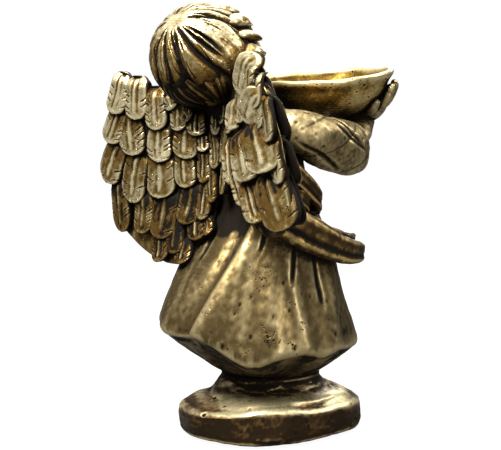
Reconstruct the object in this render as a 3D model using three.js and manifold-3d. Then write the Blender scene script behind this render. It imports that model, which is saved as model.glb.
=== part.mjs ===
// Cast resin cherub in a long robe, looking up and holding out a bowl.
// Millimetres, +Z up. The figure faces -Y and its right side is -X.
// Until the last step z runs up the robe's centre line; then the whole figure is
// shifted so that the origin is the middle of the footprint, on the ground.
import * as THREE from 'three';
import { mergeVertices } from 'three/addons/utils/BufferGeometryUtils.js';
import Module from 'manifold-3d';

const wasm = await Module();
wasm.setup();

// ---- driving dimensions ----
const gap = 0.3; // glue line between castings
const padHeight = 3;
const padRadius = 9;
const neckZ = 56; // top of the plinth's mound, where the robe stands
const neckRadius = 46;
const plinthShift = -15; // the plinth sits a little towards the front
const spigotRadius = 30;
const spigotHeight = 12;
const coreRadius = 15; // casting core, open below through the plinth
const coreTop = 250;
const hemZ = 88;
const hemRadius = 90;
const hemWave = 12;
const hemLowAt = 2.6; // direction in which the hem dips, radians from +X
const headCentre = [4, 61, 344];
const headSize = [46, 48, 47]; // half width, half depth, half height
const faceCentre = [3, 29, 337];
const faceSize = [36, 31, 36];
const noseTip = [2, -1, 349];
const neckPin = [2, 36]; // x and y of the dowel through the neck
const bowlCentreY = -84;
const bowlRadius = 64;
const bowlWall = 3.5;
const bowlDepth = 42;
const bowlBaseZ = 283;
const bowlTilt = 0.1; // front lip raised, radians
const wingRootY = 40;
const dowelRadius = 3;

// ---- solids ----
function material(name, colour, roughness, metalness) {
  const made = new THREE.MeshStandardMaterial({ color: colour, roughness, metalness });
  made.name = name;
  return made;
}

const bronzePaint = material('bronze_paint', 0x9a8350, 0.42, 0.75);
const robePaint = material('robe_paint', 0x837250, 0.5, 0.7);
const plinthPaint = material('plinth_paint', 0x55452f, 0.5, 0.65);
const bowlPaint = material('bowl_paint', 0xa08345, 0.35, 0.8);
const steel = material('dowel_steel', 0x9c9ea2, 0.35, 1.0);
const rubber = material('pad_rubber', 0x1d1c1b, 0.85, 0.0);

function toSolid(geometry) {
  geometry.deleteAttribute('normal');
  geometry.deleteAttribute('uv');
  const merged = mergeVertices(geometry, 1e-3);
  return new wasm.Manifold(new wasm.Mesh({
    numProp: 3,
    vertProperties: new Float32Array(merged.attributes.position.array),
    triVerts: new Uint32Array(merged.index.array),
  }));
}

function toNode(name, solid, paint) {
  const found = solid.getMesh();
  const geometry = new THREE.BufferGeometry();
  geometry.setAttribute('position', new THREE.BufferAttribute(found.vertProperties, 3));
  geometry.setIndex(new THREE.BufferAttribute(found.triVerts, 1));
  geometry.computeVertexNormals();
  const mesh = new THREE.Mesh(geometry, paint);
  mesh.name = name;
  return mesh;
}

// A closed skin over a stack of rings with equal counts, its ends fanned shut.
// wrap joins the last ring to the first instead, for a band closed on itself.
function skin(rings, wrap = false) {
  const count = rings[0].length;
  const points = rings.flat().flatMap((p) => [p.x, p.y, p.z]);
  const faces = [];
  const last = wrap ? rings.length : rings.length - 1;
  for (let i = 0; i < last; i += 1) {
    for (let j = 0; j < count; j += 1) {
      const a = i * count + j;
      const b = i * count + ((j + 1) % count);
      const c = ((i + 1) % rings.length) * count + j;
      const d = ((i + 1) % rings.length) * count + ((j + 1) % count);
      faces.push(a, b, d, a, d, c);
    }
  }
  if (!wrap) {
    for (const [ring, turn] of [[0, 1], [rings.length - 1, 0]]) {
      const centre = new THREE.Vector3();
      rings[ring].forEach((p) => centre.addScaledVector(p, 1 / count));
      const tip = points.length / 3;
      points.push(centre.x, centre.y, centre.z);
      for (let j = 0; j < count; j += 1) {
        const a = ring * count + j;
        const b = ring * count + ((j + 1) % count);
        faces.push(tip, turn ? b : a, turn ? a : b);
      }
    }
  }
  const geometry = new THREE.BufferGeometry();
  geometry.setAttribute('position', new THREE.Float32BufferAttribute(points, 3));
  geometry.setIndex(faces);
  return toSolid(geometry);
}

// An upright stack of ovals: rows are [z, half width, half depth, y of the centre].
// wave(angle, z) adds to the radius and lift(angle, z) to the height.
function ovalStack(rows, count, grow = 0, wave = () => 0, lift = () => 0) {
  const rings = rows.map(([z, a, b, cy]) => {
    const ring = [];
    for (let j = 0; j < count; j += 1) {
      const t = (j / count) * Math.PI * 2;
      const more = grow + wave(t, z);
      ring.push(new THREE.Vector3(
        (a + more) * Math.cos(t),
        cy + (b + more) * Math.sin(t),
        z + lift(t, z),
      ));
    }
    return ring;
  });
  return skin(rings);
}

function rod(radius, from, to, sides = 16) {
  const start = new THREE.Vector3(...from);
  const way = new THREE.Vector3(...to).sub(start);
  const geometry = new THREE.CylinderGeometry(radius, radius, way.length(), sides);
  geometry.translate(0, way.length() / 2, 0);
  const turn = new THREE.Quaternion();
  turn.setFromUnitVectors(new THREE.Vector3(0, 1, 0), way.clone().normalize());
  geometry.applyQuaternion(turn);
  geometry.translate(start.x, start.y, start.z);
  return toSolid(geometry);
}

function ball(centre, size, grow = 0, around = 24) {
  const geometry = new THREE.SphereGeometry(1, around, Math.round(around * 0.6));
  geometry.scale(size[0] + grow, size[1] + grow, size[2] + grow);
  geometry.translate(...centre);
  return toSolid(geometry);
}

// A limb along points [x, y, z, half width, half height]: ovals set square to the way.
function limb(points, count, grow = 0) {
  const centres = points.map((p) => new THREE.Vector3(p[0], p[1], p[2]));
  const rings = points.map((p, i) => {
    const before = centres[Math.max(i - 1, 0)];
    const after = centres[Math.min(i + 1, centres.length - 1)];
    const way = after.clone().sub(before).normalize();
    const side = new THREE.Vector3(0, 0, 1).cross(way).normalize();
    const up = way.clone().cross(side);
    const ring = [];
    for (let j = 0; j < count; j += 1) {
      const t = (j / count) * Math.PI * 2;
      ring.push(centres[i].clone()
        .addScaledVector(side, (p[3] + grow) * Math.cos(t))
        .addScaledVector(up, (p[4] + grow) * Math.sin(t)));
    }
    return ring;
  });
  return skin(rings);
}

function mirrored(points) {
  return points.map(([x, ...rest]) => [-x, ...rest]);
}

// ---- plinth, with its spigot, fill hole and dowel holes ----
function plinthCasting() {
  const rows = [
    [padHeight, 66, 78, plinthShift], [8, 75, 87, plinthShift], [24, 77, 89, plinthShift],
    [28, 73, 85, plinthShift], [33, 66, 74, plinthShift], [40, 55, 59, plinthShift],
    [49, 48, 50, plinthShift], [neckZ, neckRadius, neckRadius, plinthShift],
  ];
  const rough = (t, z) => (z < 32 ? 2.5 * Math.sin(3 * t + 1) + 1.5 * Math.cos(5 * t) : 0);
  const body = ovalStack(rows, 36, 0, rough);
  const spigotFoot = [0, plinthShift, neckZ - 4];
  const spigot = rod(spigotRadius, spigotFoot, [0, plinthShift, neckZ + spigotHeight], 28);
  const bore = rod(coreRadius, [0, plinthShift, 0], [0, plinthShift, neckZ + 40], 24);
  return body.add(spigot).subtract(bore);
}

// Two steel dowels stop the robe from turning on its spigot.
const baseDowels = [[-38, plinthShift], [38, plinthShift]];

function baseDowel([x, y], grow = 0) {
  return rod(dowelRadius + grow, [x, y, neckZ - 12 - grow], [x, y, neckZ + 14 + grow]);
}

// ---- robe: underside, scalloped hem, skirt, waist, shoulders and neck seat ----
const robeRows = [
  [neckZ + gap, neckRadius, neckRadius, plinthShift], [62, 60, 62, -11], [72, 78, 79, -4],
  [hemZ, hemRadius - 1, hemRadius - 1, 0], [hemZ + 12, hemRadius, hemRadius, 0],
  [120, 84, 83, 0], [150, 76, 71, -1], [175, 69, 58, -3], [200, 60, 46, -4],
  [225, 52, 39, -2], [245, 49, 35, 1], [265, 52, 35, 7], [285, 56, 34, 14],
  [297, 46, 29, 22], [305, 30, 22, 28], [311, 20, 17, 33],
];

function robeBody() {
  const nearHem = (z) => Math.exp(-(((z - hemZ - 4) / 12) ** 2));
  const wave = (t, z) => (z > 66 && z < 215 ? 2.5 * Math.sin(7 * t + 0.6) * (215 - z) / 149 : 0);
  const dip = (t) => 0.4 - 1.4 * Math.max(0, Math.cos(t - hemLowAt)) ** 3;
  const lift = (t, z) => (z > 66 ? hemWave * dip(t) * nearHem(z) : 0);
  return ovalStack(robeRows, 36, 0, wave, lift);
}

// ---- head with hair, a neck and its spigot ----
function headBody(grow = 0) {
  const [nx, ny] = neckPin;
  const neck = rod(16 + grow, [nx, ny, 292 - grow], [nx, ny + 4, 330], 20);
  const nose = ball(noseTip, [5, 6, 5], grow, 10);
  const face = ball(faceCentre, faceSize, grow, 20);
  return ball(headCentre, headSize, grow).add(neck).add(face).add(nose);
}

function neckDowel(grow = 0) {
  const [x, y] = neckPin;
  return rod(dowelRadius + grow, [x, y, 262 - grow], [x, y + 1, 318 + grow]);
}

// ---- wings: upright slabs that sweep back and out, each with a tenon and a dowel ----
// rows are [z, inner edge, outer edge, thickness]; the right wing is carried a little higher
const leftWingRows = [
  [155, 34, 56, 6], [162, 24, 80, 10], [172, 14, 104, 12], [183, 8, 120, 12], [200, 5, 123, 12],
  [230, 4, 130, 12], [258, 4, 129, 12], [282, 5, 120, 12], [298, 8, 113, 12], [311, 32, 107, 11],
  [323, 58, 101, 10], [332, 74, 93, 6],
];
const rightWingRows = [
  [190, 84, 110, 6], [198, 64, 122, 10], [210, 44, 128, 12], [226, 30, 132, 12], [245, 12, 135, 12],
  [262, 5, 135, 12], [284, 5, 130, 12], [304, 8, 124, 12], [318, 26, 117, 11], [332, 46, 107, 10],
  [344, 62, 92, 6],
];

function wingSurfaceY(t, z) {
  const sweep = 0.23 + 0.2 * (z - 187) / 140;
  const overRobe = 22 * Math.exp(-((z - 150) / 34)) * Math.max(0, 1 - t / 150);
  return wingRootY + sweep * t + overRobe;
}

function wing(side, grow = 0) {
  const count = 18;
  const rings = (side > 0 ? leftWingRows : rightWingRows).map(([z, inner, outer, thick], i) => {
    const ring = [];
    const rise = i === 0 ? -grow : 0;
    for (let j = 0; j < count; j += 1) {
      const a = (j / count) * Math.PI * 2;
      const half = (outer - inner) / 2 + grow;
      const t = (inner + outer) / 2 + half * Math.sign(Math.cos(a)) * Math.abs(Math.cos(a)) ** 0.7;
      const y = wingSurfaceY(t, z) + (thick / 2 + grow) * Math.sin(a);
      ring.push(new THREE.Vector3(t, y, z + rise));
    }
    return ring;
  });
  const tenon = limb([[14, 22, 262, 6, 16], [14, 44, 262, 6, 16]], 12, grow);
  const made = skin(rings).add(tenon);
  return side > 0 ? made : made.mirror([1, 0, 0]);
}

function wingDowel(side, grow = 0) {
  return rod(2.5 + grow, [side * 24, 16 - grow, 232], [side * 24, 46 + grow, 232]);
}

// ---- arms: bell sleeves, hands under the bowl and a pin through each shoulder ----
const sleevePath = [
  [-40, 18, 282, 13, 15], [-50, 4, 279, 18, 18], [-54, -18, 272, 20, 20], [-53, -42, 265, 20, 20],
  [-50, -64, 262, 19, 20], [-46, -78, 264, 14, 16],
];
const wristPath = [[-46, -62, 262, 9, 8], [-45, -78, 266, 10, 8], [-43, -92, 273, 13, 8]];
const palmPath = [
  [-44, -80, 267, 12, 8], [-44, -89, 275, 17, 8], [-46, -97, 286, 19, 8], [-51, -104, 300, 18, 7],
  [-54, -110, 314, 14, 5],
];

function sleeve(side, grow = 0) {
  return limb(side < 0 ? sleevePath : mirrored(sleevePath), 20, grow);
}

function hand(side, grow = 0) {
  const wrist = limb(side < 0 ? wristPath : mirrored(wristPath), 16, grow);
  const palm = limb(side < 0 ? palmPath : mirrored(palmPath), 16, grow);
  return wrist.add(palm);
}

function armPin(side, grow = 0) {
  return rod(2.5 + grow, [side * (28 - grow), 10, 278], [side * (56 + grow), 8, 278]);
}

// ---- bowl: a spun dish, tipped so that its front lip is higher ----
const dish = [[0, 0], [20, 0.8], [36, 6.5], [50, 17], [60, 30]];

function bowlProfile() {
  const outer = dish.concat([[bowlRadius, bowlDepth]]);
  const inner = outer.slice(1).reverse().map(([r, z]) => [r - bowlWall, Math.max(z, bowlWall + 2.2)]);
  inner[0][1] = bowlDepth + 0.6;
  inner.push([0, bowlWall + 1.5]);
  return outer.concat(inner);
}

function bowl(filled = false, grow = 0) {
  const profile = filled ? dish.concat([[bowlRadius, bowlDepth], [0, bowlDepth]]) : bowlProfile();
  const swollen = ([r, z]) => new THREE.Vector2(r > 0 ? r + grow : 0, z < 20 ? z - grow : z + grow);
  const points = profile.map(swollen);
  const geometry = new THREE.LatheGeometry(points, 32);
  geometry.rotateX(Math.PI / 2);
  geometry.rotateX(-bowlTilt);
  geometry.translate(0, bowlCentreY, bowlBaseZ);
  return toSolid(geometry);
}

const waistZ = 220;
const waist = [54, 40, -2.5]; // half width, half depth and y of the centre

// ---- sash: a strap round the front of the waist, with a bow and two tails ----
function sashBand(grow = 0) {
  const rings = [];
  const steps = 30;
  for (let i = 0; i <= steps; i += 1) {
    const t = Math.PI * (0.96 + (1.08 * i) / steps);
    const at = (out, up) => new THREE.Vector3(
      (waist[0] + out) * Math.cos(t),
      waist[2] + (waist[1] + out) * Math.sin(t),
      waistZ + up,
    );
    const proud = 4.5 + grow;
    const half = 6 + grow;
    rings.push([at(-3 - grow, -half), at(proud - 1, -half), at(proud, 0), at(proud - 1, half),
      at(-3 - grow, half)]);
  }
  return skin(rings.reverse());
}

const knotAt = [-60, 6, 219];
const knotSize = [7, 10, 11];
const ribbons = {
  bow_loop_upper: [[-55, 30, 254, 3, 6], [-63, 18, 246, 4, 8], [-67, 3, 233, 4, 8],
    [-66, -11, 221, 4, 7], [-62, -19, 212, 3, 6]],
  bow_loop_lower: [[-52, 20, 250, 3, 5], [-56, 11, 243, 3, 6], [-61, -2, 231, 3, 6],
    [-62, -12, 219, 3, 6], [-59, -21, 207, 2, 5]],
  sash_tail_long: [[-57, 44, 209, 4, 7], [-68, 30, 203, 5, 12], [-79, 6, 189, 6, 15], [-81, -14, 180, 6, 14],
    [-79, -33, 173, 6, 12], [-74, -51, 169, 6, 11], [-67, -65, 167, 6, 9], [-61, -73, 168, 4, 7]],
  sash_tail_short: [[-63, -34, 186, 2.5, 6], [-60, -50, 179, 3, 7], [-53, -66, 175, 3, 7],
    [-46, -77, 175, 2, 6]],
};

function ribbon(name, grow = 0) {
  return limb(ribbons[name], 12, grow);
}

// ---- assembly ----
const figure = new THREE.Group();
const place = (name, solid, paint) => figure.add(toNode(name, solid, paint));
const sides = [['left', 1], ['right', -1]];

const head = headBody();
let robe = robeBody();
robe = robe.subtract(rod(coreRadius + 2, [0, plinthShift, neckZ], [0, 6, coreTop], 24));
const socketTop = [0, plinthShift, neckZ + spigotHeight + gap];
robe = robe.subtract(rod(spigotRadius + gap, [0, plinthShift, 40], socketTop, 28));
robe = robe.subtract(headBody(gap)).subtract(neckDowel(gap));
baseDowels.forEach((at) => { robe = robe.subtract(baseDowel(at, gap)); });

const wholeBowl = bowl(true, gap);
const wings = {};
const sleeves = {};
const hands = {};
for (const [name, side] of sides) {
  robe = robe.subtract(wing(side, gap)).subtract(wingDowel(side, gap));
  robe = robe.subtract(sleeve(side, gap)).subtract(armPin(side, gap));
  wings[name] = wing(side).subtract(headBody(gap)).subtract(wingDowel(side, gap));
  hands[name] = hand(side).subtract(wholeBowl);
  sleeves[name] = sleeve(side).subtract(wholeBowl).subtract(hand(side, gap));
  sleeves[name] = sleeves[name].subtract(armPin(side, gap));
}


const knot = ball(knotAt, knotSize, 0, 14);
const seatedKnot = ball(knotAt, knotSize, gap, 14);
const bows = {};
let taken = seatedKnot;
for (const name of Object.keys(ribbons)) {
  bows[name] = ribbon(name).subtract(taken);
  taken = taken.add(ribbon(name, gap));
}
for (const side of [1, -1]) taken = taken.add(wing(side, gap));
const band = sashBand().subtract(taken);
robe = robe.subtract(sashBand(gap)).subtract(taken);

const plinth = baseDowels.reduce((solid, at) => solid.subtract(baseDowel(at, gap)), plinthCasting());
place('plinth_casting', plinth, plinthPaint);
place('robe_casting', robe, robePaint);
place('head_casting', head.subtract(neckDowel(gap)), bronzePaint);
for (const [name, side] of sides) {
  place(`${name}_wing`, wings[name], bronzePaint);
  place(`${name}_sleeve`, sleeves[name], robePaint);
  place(`${name}_hand`, hands[name], bronzePaint);
  place(`${name}_wing_dowel`, wingDowel(side), steel);
  place(`${name}_arm_pin`, armPin(side), steel);
}
place('bowl', bowl(), bowlPaint);
place('sash_band', band, robePaint);
place('bow_knot', knot, bronzePaint);
for (const [name, solid] of Object.entries(bows)) place(name, solid, bronzePaint);
place('neck_dowel', neckDowel(), steel);
place('base_dowel_left', baseDowel(baseDowels[1]), steel);
place('base_dowel_right', baseDowel(baseDowels[0]), steel);

// ---- under the plinth: a rubber plug in the fill hole and four pads ----
const plug = rod(coreRadius - gap, [0, plinthShift, padHeight + 1], [0, plinthShift, 20], 24);
place('fill_plug', plug, rubber);
for (const [name, x, y] of [['front_left', 42, -62], ['front_right', -42, -62], ['rear_left', 42, 32],
  ['rear_right', -42, 32]]) {
  place(`foot_pad_${name}`, rod(padRadius, [x, y, 0], [x, y, padHeight - 0.05], 20), rubber);
}

// The origin moves to the middle of the footprint, on the ground.
figure.updateMatrixWorld(true);
const extent = new THREE.Box3().setFromObject(figure);
const centre = extent.getCenter(new THREE.Vector3());
figure.position.set(-centre.x, -centre.y, -extent.min.z);

export default figure;
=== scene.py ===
# Bronze-painted resin cherub: robe, wings of separate feathers, hair in locks, bowl, sash and rock.
# Shapes are worked out in millimetres round the robe's centre line, then put into the frame in metres.
# The figure faces -Y, its right side is -X, and angles go round +Z from +X.
import math
import bpy
import numpy as np
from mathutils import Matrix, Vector


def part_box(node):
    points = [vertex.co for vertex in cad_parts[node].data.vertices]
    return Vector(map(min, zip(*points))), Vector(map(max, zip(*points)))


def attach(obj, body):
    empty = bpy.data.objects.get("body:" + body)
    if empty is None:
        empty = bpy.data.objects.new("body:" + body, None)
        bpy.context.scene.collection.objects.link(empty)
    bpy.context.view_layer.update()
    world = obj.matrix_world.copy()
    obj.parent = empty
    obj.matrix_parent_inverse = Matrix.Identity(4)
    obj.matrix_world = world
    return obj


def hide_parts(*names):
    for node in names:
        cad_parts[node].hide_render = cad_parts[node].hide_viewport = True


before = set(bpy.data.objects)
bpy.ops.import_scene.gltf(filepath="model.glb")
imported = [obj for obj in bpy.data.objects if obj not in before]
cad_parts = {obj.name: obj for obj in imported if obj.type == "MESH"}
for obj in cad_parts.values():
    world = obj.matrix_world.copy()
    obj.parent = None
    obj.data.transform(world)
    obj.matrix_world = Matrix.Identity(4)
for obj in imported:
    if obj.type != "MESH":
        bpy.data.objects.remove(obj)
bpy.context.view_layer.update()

plugLow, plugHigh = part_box("fill_plug")
plugForward = 15.0  # the plug sits this far in front of the robe's centre line
axisX = (plugLow[0] + plugHigh[0]) / 2
axisY = (plugLow[1] + plugHigh[1]) / 2 + plugForward / 1000


def toFrame(points):
    # millimetres round the robe's centre line to metres in the frame
    return points * 0.001 + np.array([axisX, axisY, 0.0])


# numbers that repeat for every run
def hashed(ix, iy, iz, seed):
    # a steady number from 0 to 1 for every lattice point, by mixing the bits of its indices
    n = (ix * 374761393 + iy * 668265263 + iz * 1440662683 + seed * 1274126177) & 0xffffffff
    n = ((n ^ (n >> 13)) * 1274126177) & 0xffffffff
    n = ((n ^ (n >> 15)) * 668265263) & 0xffffffff
    return ((n ^ (n >> 16)) & 0xffff) / 65535.0


def softNoise(p, size, seed):
    # lattice values blended by a smooth step, -1 to 1, features about size mm wide
    q = p / size
    base = np.floor(q).astype(np.int64)
    f = q - base
    f = f * f * (3 - 2 * f)
    total = np.zeros(p.shape[:-1])
    for corner in range(8):
        shift = np.array([corner & 1, (corner >> 1) & 1, corner >> 2])
        at = base + shift
        w = np.prod(np.where(shift == 1, f, 1 - f), axis=-1)
        total += w * hashed(at[..., 0], at[..., 1], at[..., 2], seed)
    return total * 2 - 1


def cloud(p, size, seed, octaves=3):
    # noise summed over octaves, each half as wide and half as strong
    return sum(softNoise(p, size / 2 ** k, seed + 17 * k) / 2 ** k for k in range(octaves))


def pits(p, cell, share, seed):
    # round pits on scattered points of a jittered lattice: 0 outside, 1 at a pit's middle
    q = p / cell
    base = np.floor(q).astype(np.int64)
    deep = np.zeros(p.shape[:-1])
    for i in (-1, 0, 1):
        for j in (-1, 0, 1):
            for k in (-1, 0, 1):
                at = base + np.array([i, j, k])
                a, b, c = at[..., 0], at[..., 1], at[..., 2]
                spot = np.stack([hashed(a, b, c, seed + n) for n in (1, 2, 3)], -1) + at
                size = 0.12 + 0.3 * hashed(a, b, c, seed + 4) ** 2
                far = np.linalg.norm(q - spot, axis=-1) / size
                there = hashed(a, b, c, seed + 5) < share
                deep = np.maximum(deep, np.where(there, np.clip(1 - far * far, 0, 1), 0))
    return deep


def bump(x, centre, width):
    # a bell, 1 at its centre
    return np.exp(-((x - centre) / width) ** 2)


def step(x, low, high):
    # 0 below low, 1 above high, a smooth cubic between them
    s = np.clip((x - low) / (high - low), 0, 1)
    return s * s * (3 - 2 * s)


def turnFrom(t, degrees):
    # signed angle from a direction, in degrees
    return (np.degrees(t) - degrees + 180) % 360 - 180


def turns(count):
    # evenly spaced angles round a closed ring
    return np.linspace(0, 2 * np.pi, count, endpoint=False)


def squared(wave, power):
    # a sine or cosine with its sign kept and its size raised to a power, below 1 for a squarer oval
    return np.sign(wave) * np.abs(wave) ** power


def smoothRows(rows, count):
    # a smooth run of count rows through the given ones: cubic pieces that share the slope at each row,
    # spaced by the distance between the rows' first three values
    rows = np.asarray(rows, float)
    gaps = np.linalg.norm(np.diff(rows[:, :3], axis=0), axis=1) + 1e-6
    at = np.concatenate([[0], np.cumsum(gaps)])
    slope = np.gradient(rows, at, axis=0)
    want = np.linspace(0, at[-1], count)
    i = np.clip(np.searchsorted(at, want, side="right") - 1, 0, len(rows) - 2)
    h = gaps[i][:, None]
    s = ((want - at[i]) / gaps[i])[:, None]
    return ((2 * s ** 3 - 3 * s ** 2 + 1) * rows[i] + (s ** 3 - 2 * s ** 2 + s) * h * slope[i]
            + (3 * s ** 2 - 2 * s ** 3) * rows[i + 1] + (s ** 3 - s ** 2) * h * slope[i + 1])


# meshes
def gridNormals(p, wrapU=False):
    # cross product of a grid's two directions; the second one closes on itself, the first if told
    du = np.gradient(p, axis=0)
    if wrapU:
        du = np.roll(p, -1, 0) - np.roll(p, 1, 0)
    dv = np.roll(p, -1, 1) - np.roll(p, 1, 1)
    n = np.cross(du, dv)
    return n / (np.linalg.norm(n, axis=-1, keepdims=True) + 1e-12)


def relief(p, reach, wrapU=False):
    # how far the middle of the neighbours, a few rows or columns off, stands out along the normal
    n = gridNormals(p, wrapU)
    if wrapU:
        around = np.roll(p, reach, 0) + np.roll(p, -reach, 0)
    else:
        rows, last = np.arange(len(p)), len(p) - 1
        around = p[np.clip(rows - reach, 0, last)] + p[np.clip(rows + reach, 0, last)]
    along = around / 2 - p
    across = (np.roll(p, reach, 1) + np.roll(p, -reach, 1)) / 2 - p
    return np.sum((along + across) * n, -1)


def shell(p, hollow_and_shading=None, wrapU=False, gain=1.0, reach=3):
    # a closed skin from a grid: the second direction closes on itself, and the ends are fanned to a middle
    # point unless the first closes too. Its faces point outwards, and each point gets a paint number from
    # -1 on ridges to 1 in grooves, plus the given numbers, which hold painted shade and painted highlights
    # as well as patina and wear
    nu, nv = p.shape[:2]
    sign = -1.0
    rows = np.arange(nu if wrapU else nu - 1)
    i, j = np.meshgrid(rows, np.arange(nv), indexing="ij")
    a = i * nv + j
    b = i * nv + (j + 1) % nv
    c = ((i + 1) % nu) * nv + (j + 1) % nv
    d = ((i + 1) % nu) * nv + j
    quads = np.stack([a, b, c, d], -1).reshape(-1, 4)
    verts, tris = p.reshape(-1, 3), np.zeros((0, 3), int)
    if not wrapU:
        n = len(verts)
        verts = np.vstack([verts, p[0].mean(0), p[-1].mean(0)])
        k = np.arange(nv)
        first = np.stack([np.full(nv, n), (k + 1) % nv, k], -1)
        last = np.stack([np.full(nv, n + 1), (nu - 1) * nv + k, (nu - 1) * nv + (k + 1) % nv], -1)
        tris = np.vstack([first, last])
    every = np.vstack([quads[:, :3], quads[:, [0, 2, 3]], tris])
    va, vb, vc = (verts[every[:, m]] for m in range(3))
    if np.sum(va * np.cross(vb, vc)) < 0:
        quads, tris, sign = quads[:, ::-1], tris[:, ::-1], 1.0
    curve = relief(p, reach, wrapU) * sign * gain
    if hollow_and_shading is not None:
        curve = curve + hollow_and_shading
    curve = curve.reshape(-1)
    if not wrapU:
        curve = np.concatenate([curve, [curve[:nv].mean(), curve[-nv:].mean()]])
    return verts, quads, tris, np.clip(curve, -1, 1)


def piece(name, shells, material, slot, *nodes):
    # joins the shells into one mesh object, which rides on the root body and stands for the nodes
    base, verts, quads, tris, curve = 0, [], [], [], []
    for v, q, t, h in shells:
        verts.append(v)
        quads.append(q + base)
        tris.append(t + base)
        curve.append(h)
        base += len(v)
    verts = toFrame(np.vstack(verts))
    quads, tris = np.vstack(quads), np.vstack(tris)
    mesh = bpy.data.meshes.new(name)
    mesh.from_pydata(verts.tolist(), [], quads.tolist() + tris.tolist())
    mesh.polygons.foreach_set("use_smooth", np.ones(len(mesh.polygons), bool))
    mesh.attributes.new("hollow_and_shading", "FLOAT", "POINT").data.foreach_set("value", np.concatenate(curve))
    mesh.update()
    mesh.materials.append(material)
    made = bpy.data.objects.new(name, mesh)
    bpy.context.scene.collection.objects.link(made)
    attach(made, "root")
    if nodes:
        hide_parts(*nodes)
    print(name, len(verts), "points")
    return made


def limb(points, along, around, power=1.0):
    # ovals set across a smooth path of [x, y, z, half width, half height], closed at both ends; returns
    # the grid, the place along it (0 to 1) and the angle round it
    row = smoothRows(points, along)
    c = row[:, :3]
    way = np.gradient(c, axis=0)
    way /= np.linalg.norm(way, axis=1, keepdims=True)
    side = np.cross(np.array([0, 0, 1.0]), way)
    side /= np.linalg.norm(side, axis=1, keepdims=True) + 1e-9
    up = np.cross(way, side)
    t = turns(around)
    u = np.linspace(0, 1, along)
    wide = row[:, 3, None] * squared(np.cos(t), power)
    high = row[:, 4, None] * squared(np.sin(t), power)
    close = np.sqrt(np.clip(1 - ((u - 0.5) / 0.5) ** 24, 0.002, 1))[:, None, None]
    out = side[:, None] * wide[..., None] + up[:, None] * high[..., None]
    return c[:, None] + out * close, u[:, None], t[None, :]


def push(p, amount, wrapU=False):
    # moves a closed grid along its own outward normals
    n = gridNormals(p, wrapU)
    centre = p.mean((0, 1))
    if np.mean(np.sum(n * (p - centre), -1)) < 0:
        n = -n
    return p + n * amount[..., None]


# paint
def newGroup(name, inputs, outputs):
    group = bpy.data.node_groups.new(name, "ShaderNodeTree")
    for label, kind, value in inputs:
        socket = group.interface.new_socket(label, in_out="INPUT", socket_type=kind)
        socket.default_value = value
    for label, kind in outputs:
        group.interface.new_socket(label, in_out="OUTPUT", socket_type=kind)
    return group, group.nodes.new("NodeGroupInput"), group.nodes.new("NodeGroupOutput")


def feed(tree, socket, value):
    # a socket takes another node's output or a plain value
    if isinstance(value, bpy.types.NodeSocket):
        tree.links.new(value, socket)
    else:
        socket.default_value = value


def maths(tree, operation, a, b, clamp=False):
    node = tree.nodes.new("ShaderNodeMath")
    node.operation = operation
    node.use_clamp = clamp
    for socket, value in zip(node.inputs, (a, b)):
        feed(tree, socket, value)
    return node.outputs[0]


def plus(tree, a, b):
    return maths(tree, "ADD", a, b)


def times(tree, a, b, clamp=False):
    return maths(tree, "MULTIPLY", a, b, clamp)


def mixColour(tree, mask, a, b):
    node = tree.nodes.new("ShaderNodeMix")
    node.data_type = "RGBA"
    for socket, value in ((node.inputs[0], mask), (node.inputs[6], a), (node.inputs[7], b)):
        feed(tree, socket, value)
    return node.outputs[2]


def ramp(tree, value, low, high, toLow=0.0, toHigh=1.0):
    # a smooth step between two values
    node = tree.nodes.new("ShaderNodeMapRange")
    node.interpolation_type = "SMOOTHSTEP"
    for socket, number in zip(node.inputs[:5], (value, low, high, toLow, toHigh)):
        feed(tree, socket, number)
    return node.outputs[0]


def noiseNode(tree, vector, scale, detail=3.0, rough=0.55):
    node = tree.nodes.new("ShaderNodeTexNoise")
    tree.links.new(vector, node.inputs["Vector"])
    node.inputs["Scale"].default_value = scale
    node.inputs["Detail"].default_value = detail
    node.inputs["Roughness"].default_value = rough
    return node.outputs[0]


def newMaterial(name):
    # a material, its node tree, its shader and the object coordinates
    made = bpy.data.materials.new(name)
    made.use_nodes = True
    tree = made.node_tree
    place = tree.nodes.new("ShaderNodeTexCoord").outputs["Object"]
    return made, tree, tree.nodes["Principled BSDF"], place


def raiseGrain(tree, shader, height, strength, distance):
    # a height turned into bumps under the shader
    grain = tree.nodes.new("ShaderNodeBump")
    grain.inputs["Strength"].default_value = strength
    grain.inputs["Distance"].default_value = distance
    tree.links.new(height, grain.inputs["Height"])
    tree.links.new(grain.outputs["Normal"], shader.inputs["Normal"])


def scatterGroup():
    # small round pits that gather in patches, and a fine grain: a mask and a height
    group, enter, leave = newGroup("pitted_cast", [
        ("Vector", "NodeSocketVector", (0, 0, 0)), ("Scale", "NodeSocketFloat", 260.0),
        ("Amount", "NodeSocketFloat", 0.3)], [("Mask", "NodeSocketFloat"), ("Height", "NodeSocketFloat")])
    vector = enter.outputs["Vector"]
    cells = group.nodes.new("ShaderNodeTexVoronoi")
    group.links.new(vector, cells.inputs["Vector"])
    group.links.new(enter.outputs["Scale"], cells.inputs["Scale"])
    patches = ramp(group, noiseNode(group, vector, 55.0, 2.0), 0.45, 0.75)
    reach = times(group, patches, enter.outputs["Amount"])
    mask = times(group, maths(group, "SUBTRACT", reach, cells.outputs["Distance"]), 9.0, clamp=True)
    grain = noiseNode(group, vector, 900.0, 2.0)
    height = maths(group, "SUBTRACT", times(group, grain, 0.25), mask)
    group.links.new(mask, leave.inputs["Mask"])
    group.links.new(height, leave.inputs["Height"])
    return group


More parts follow.
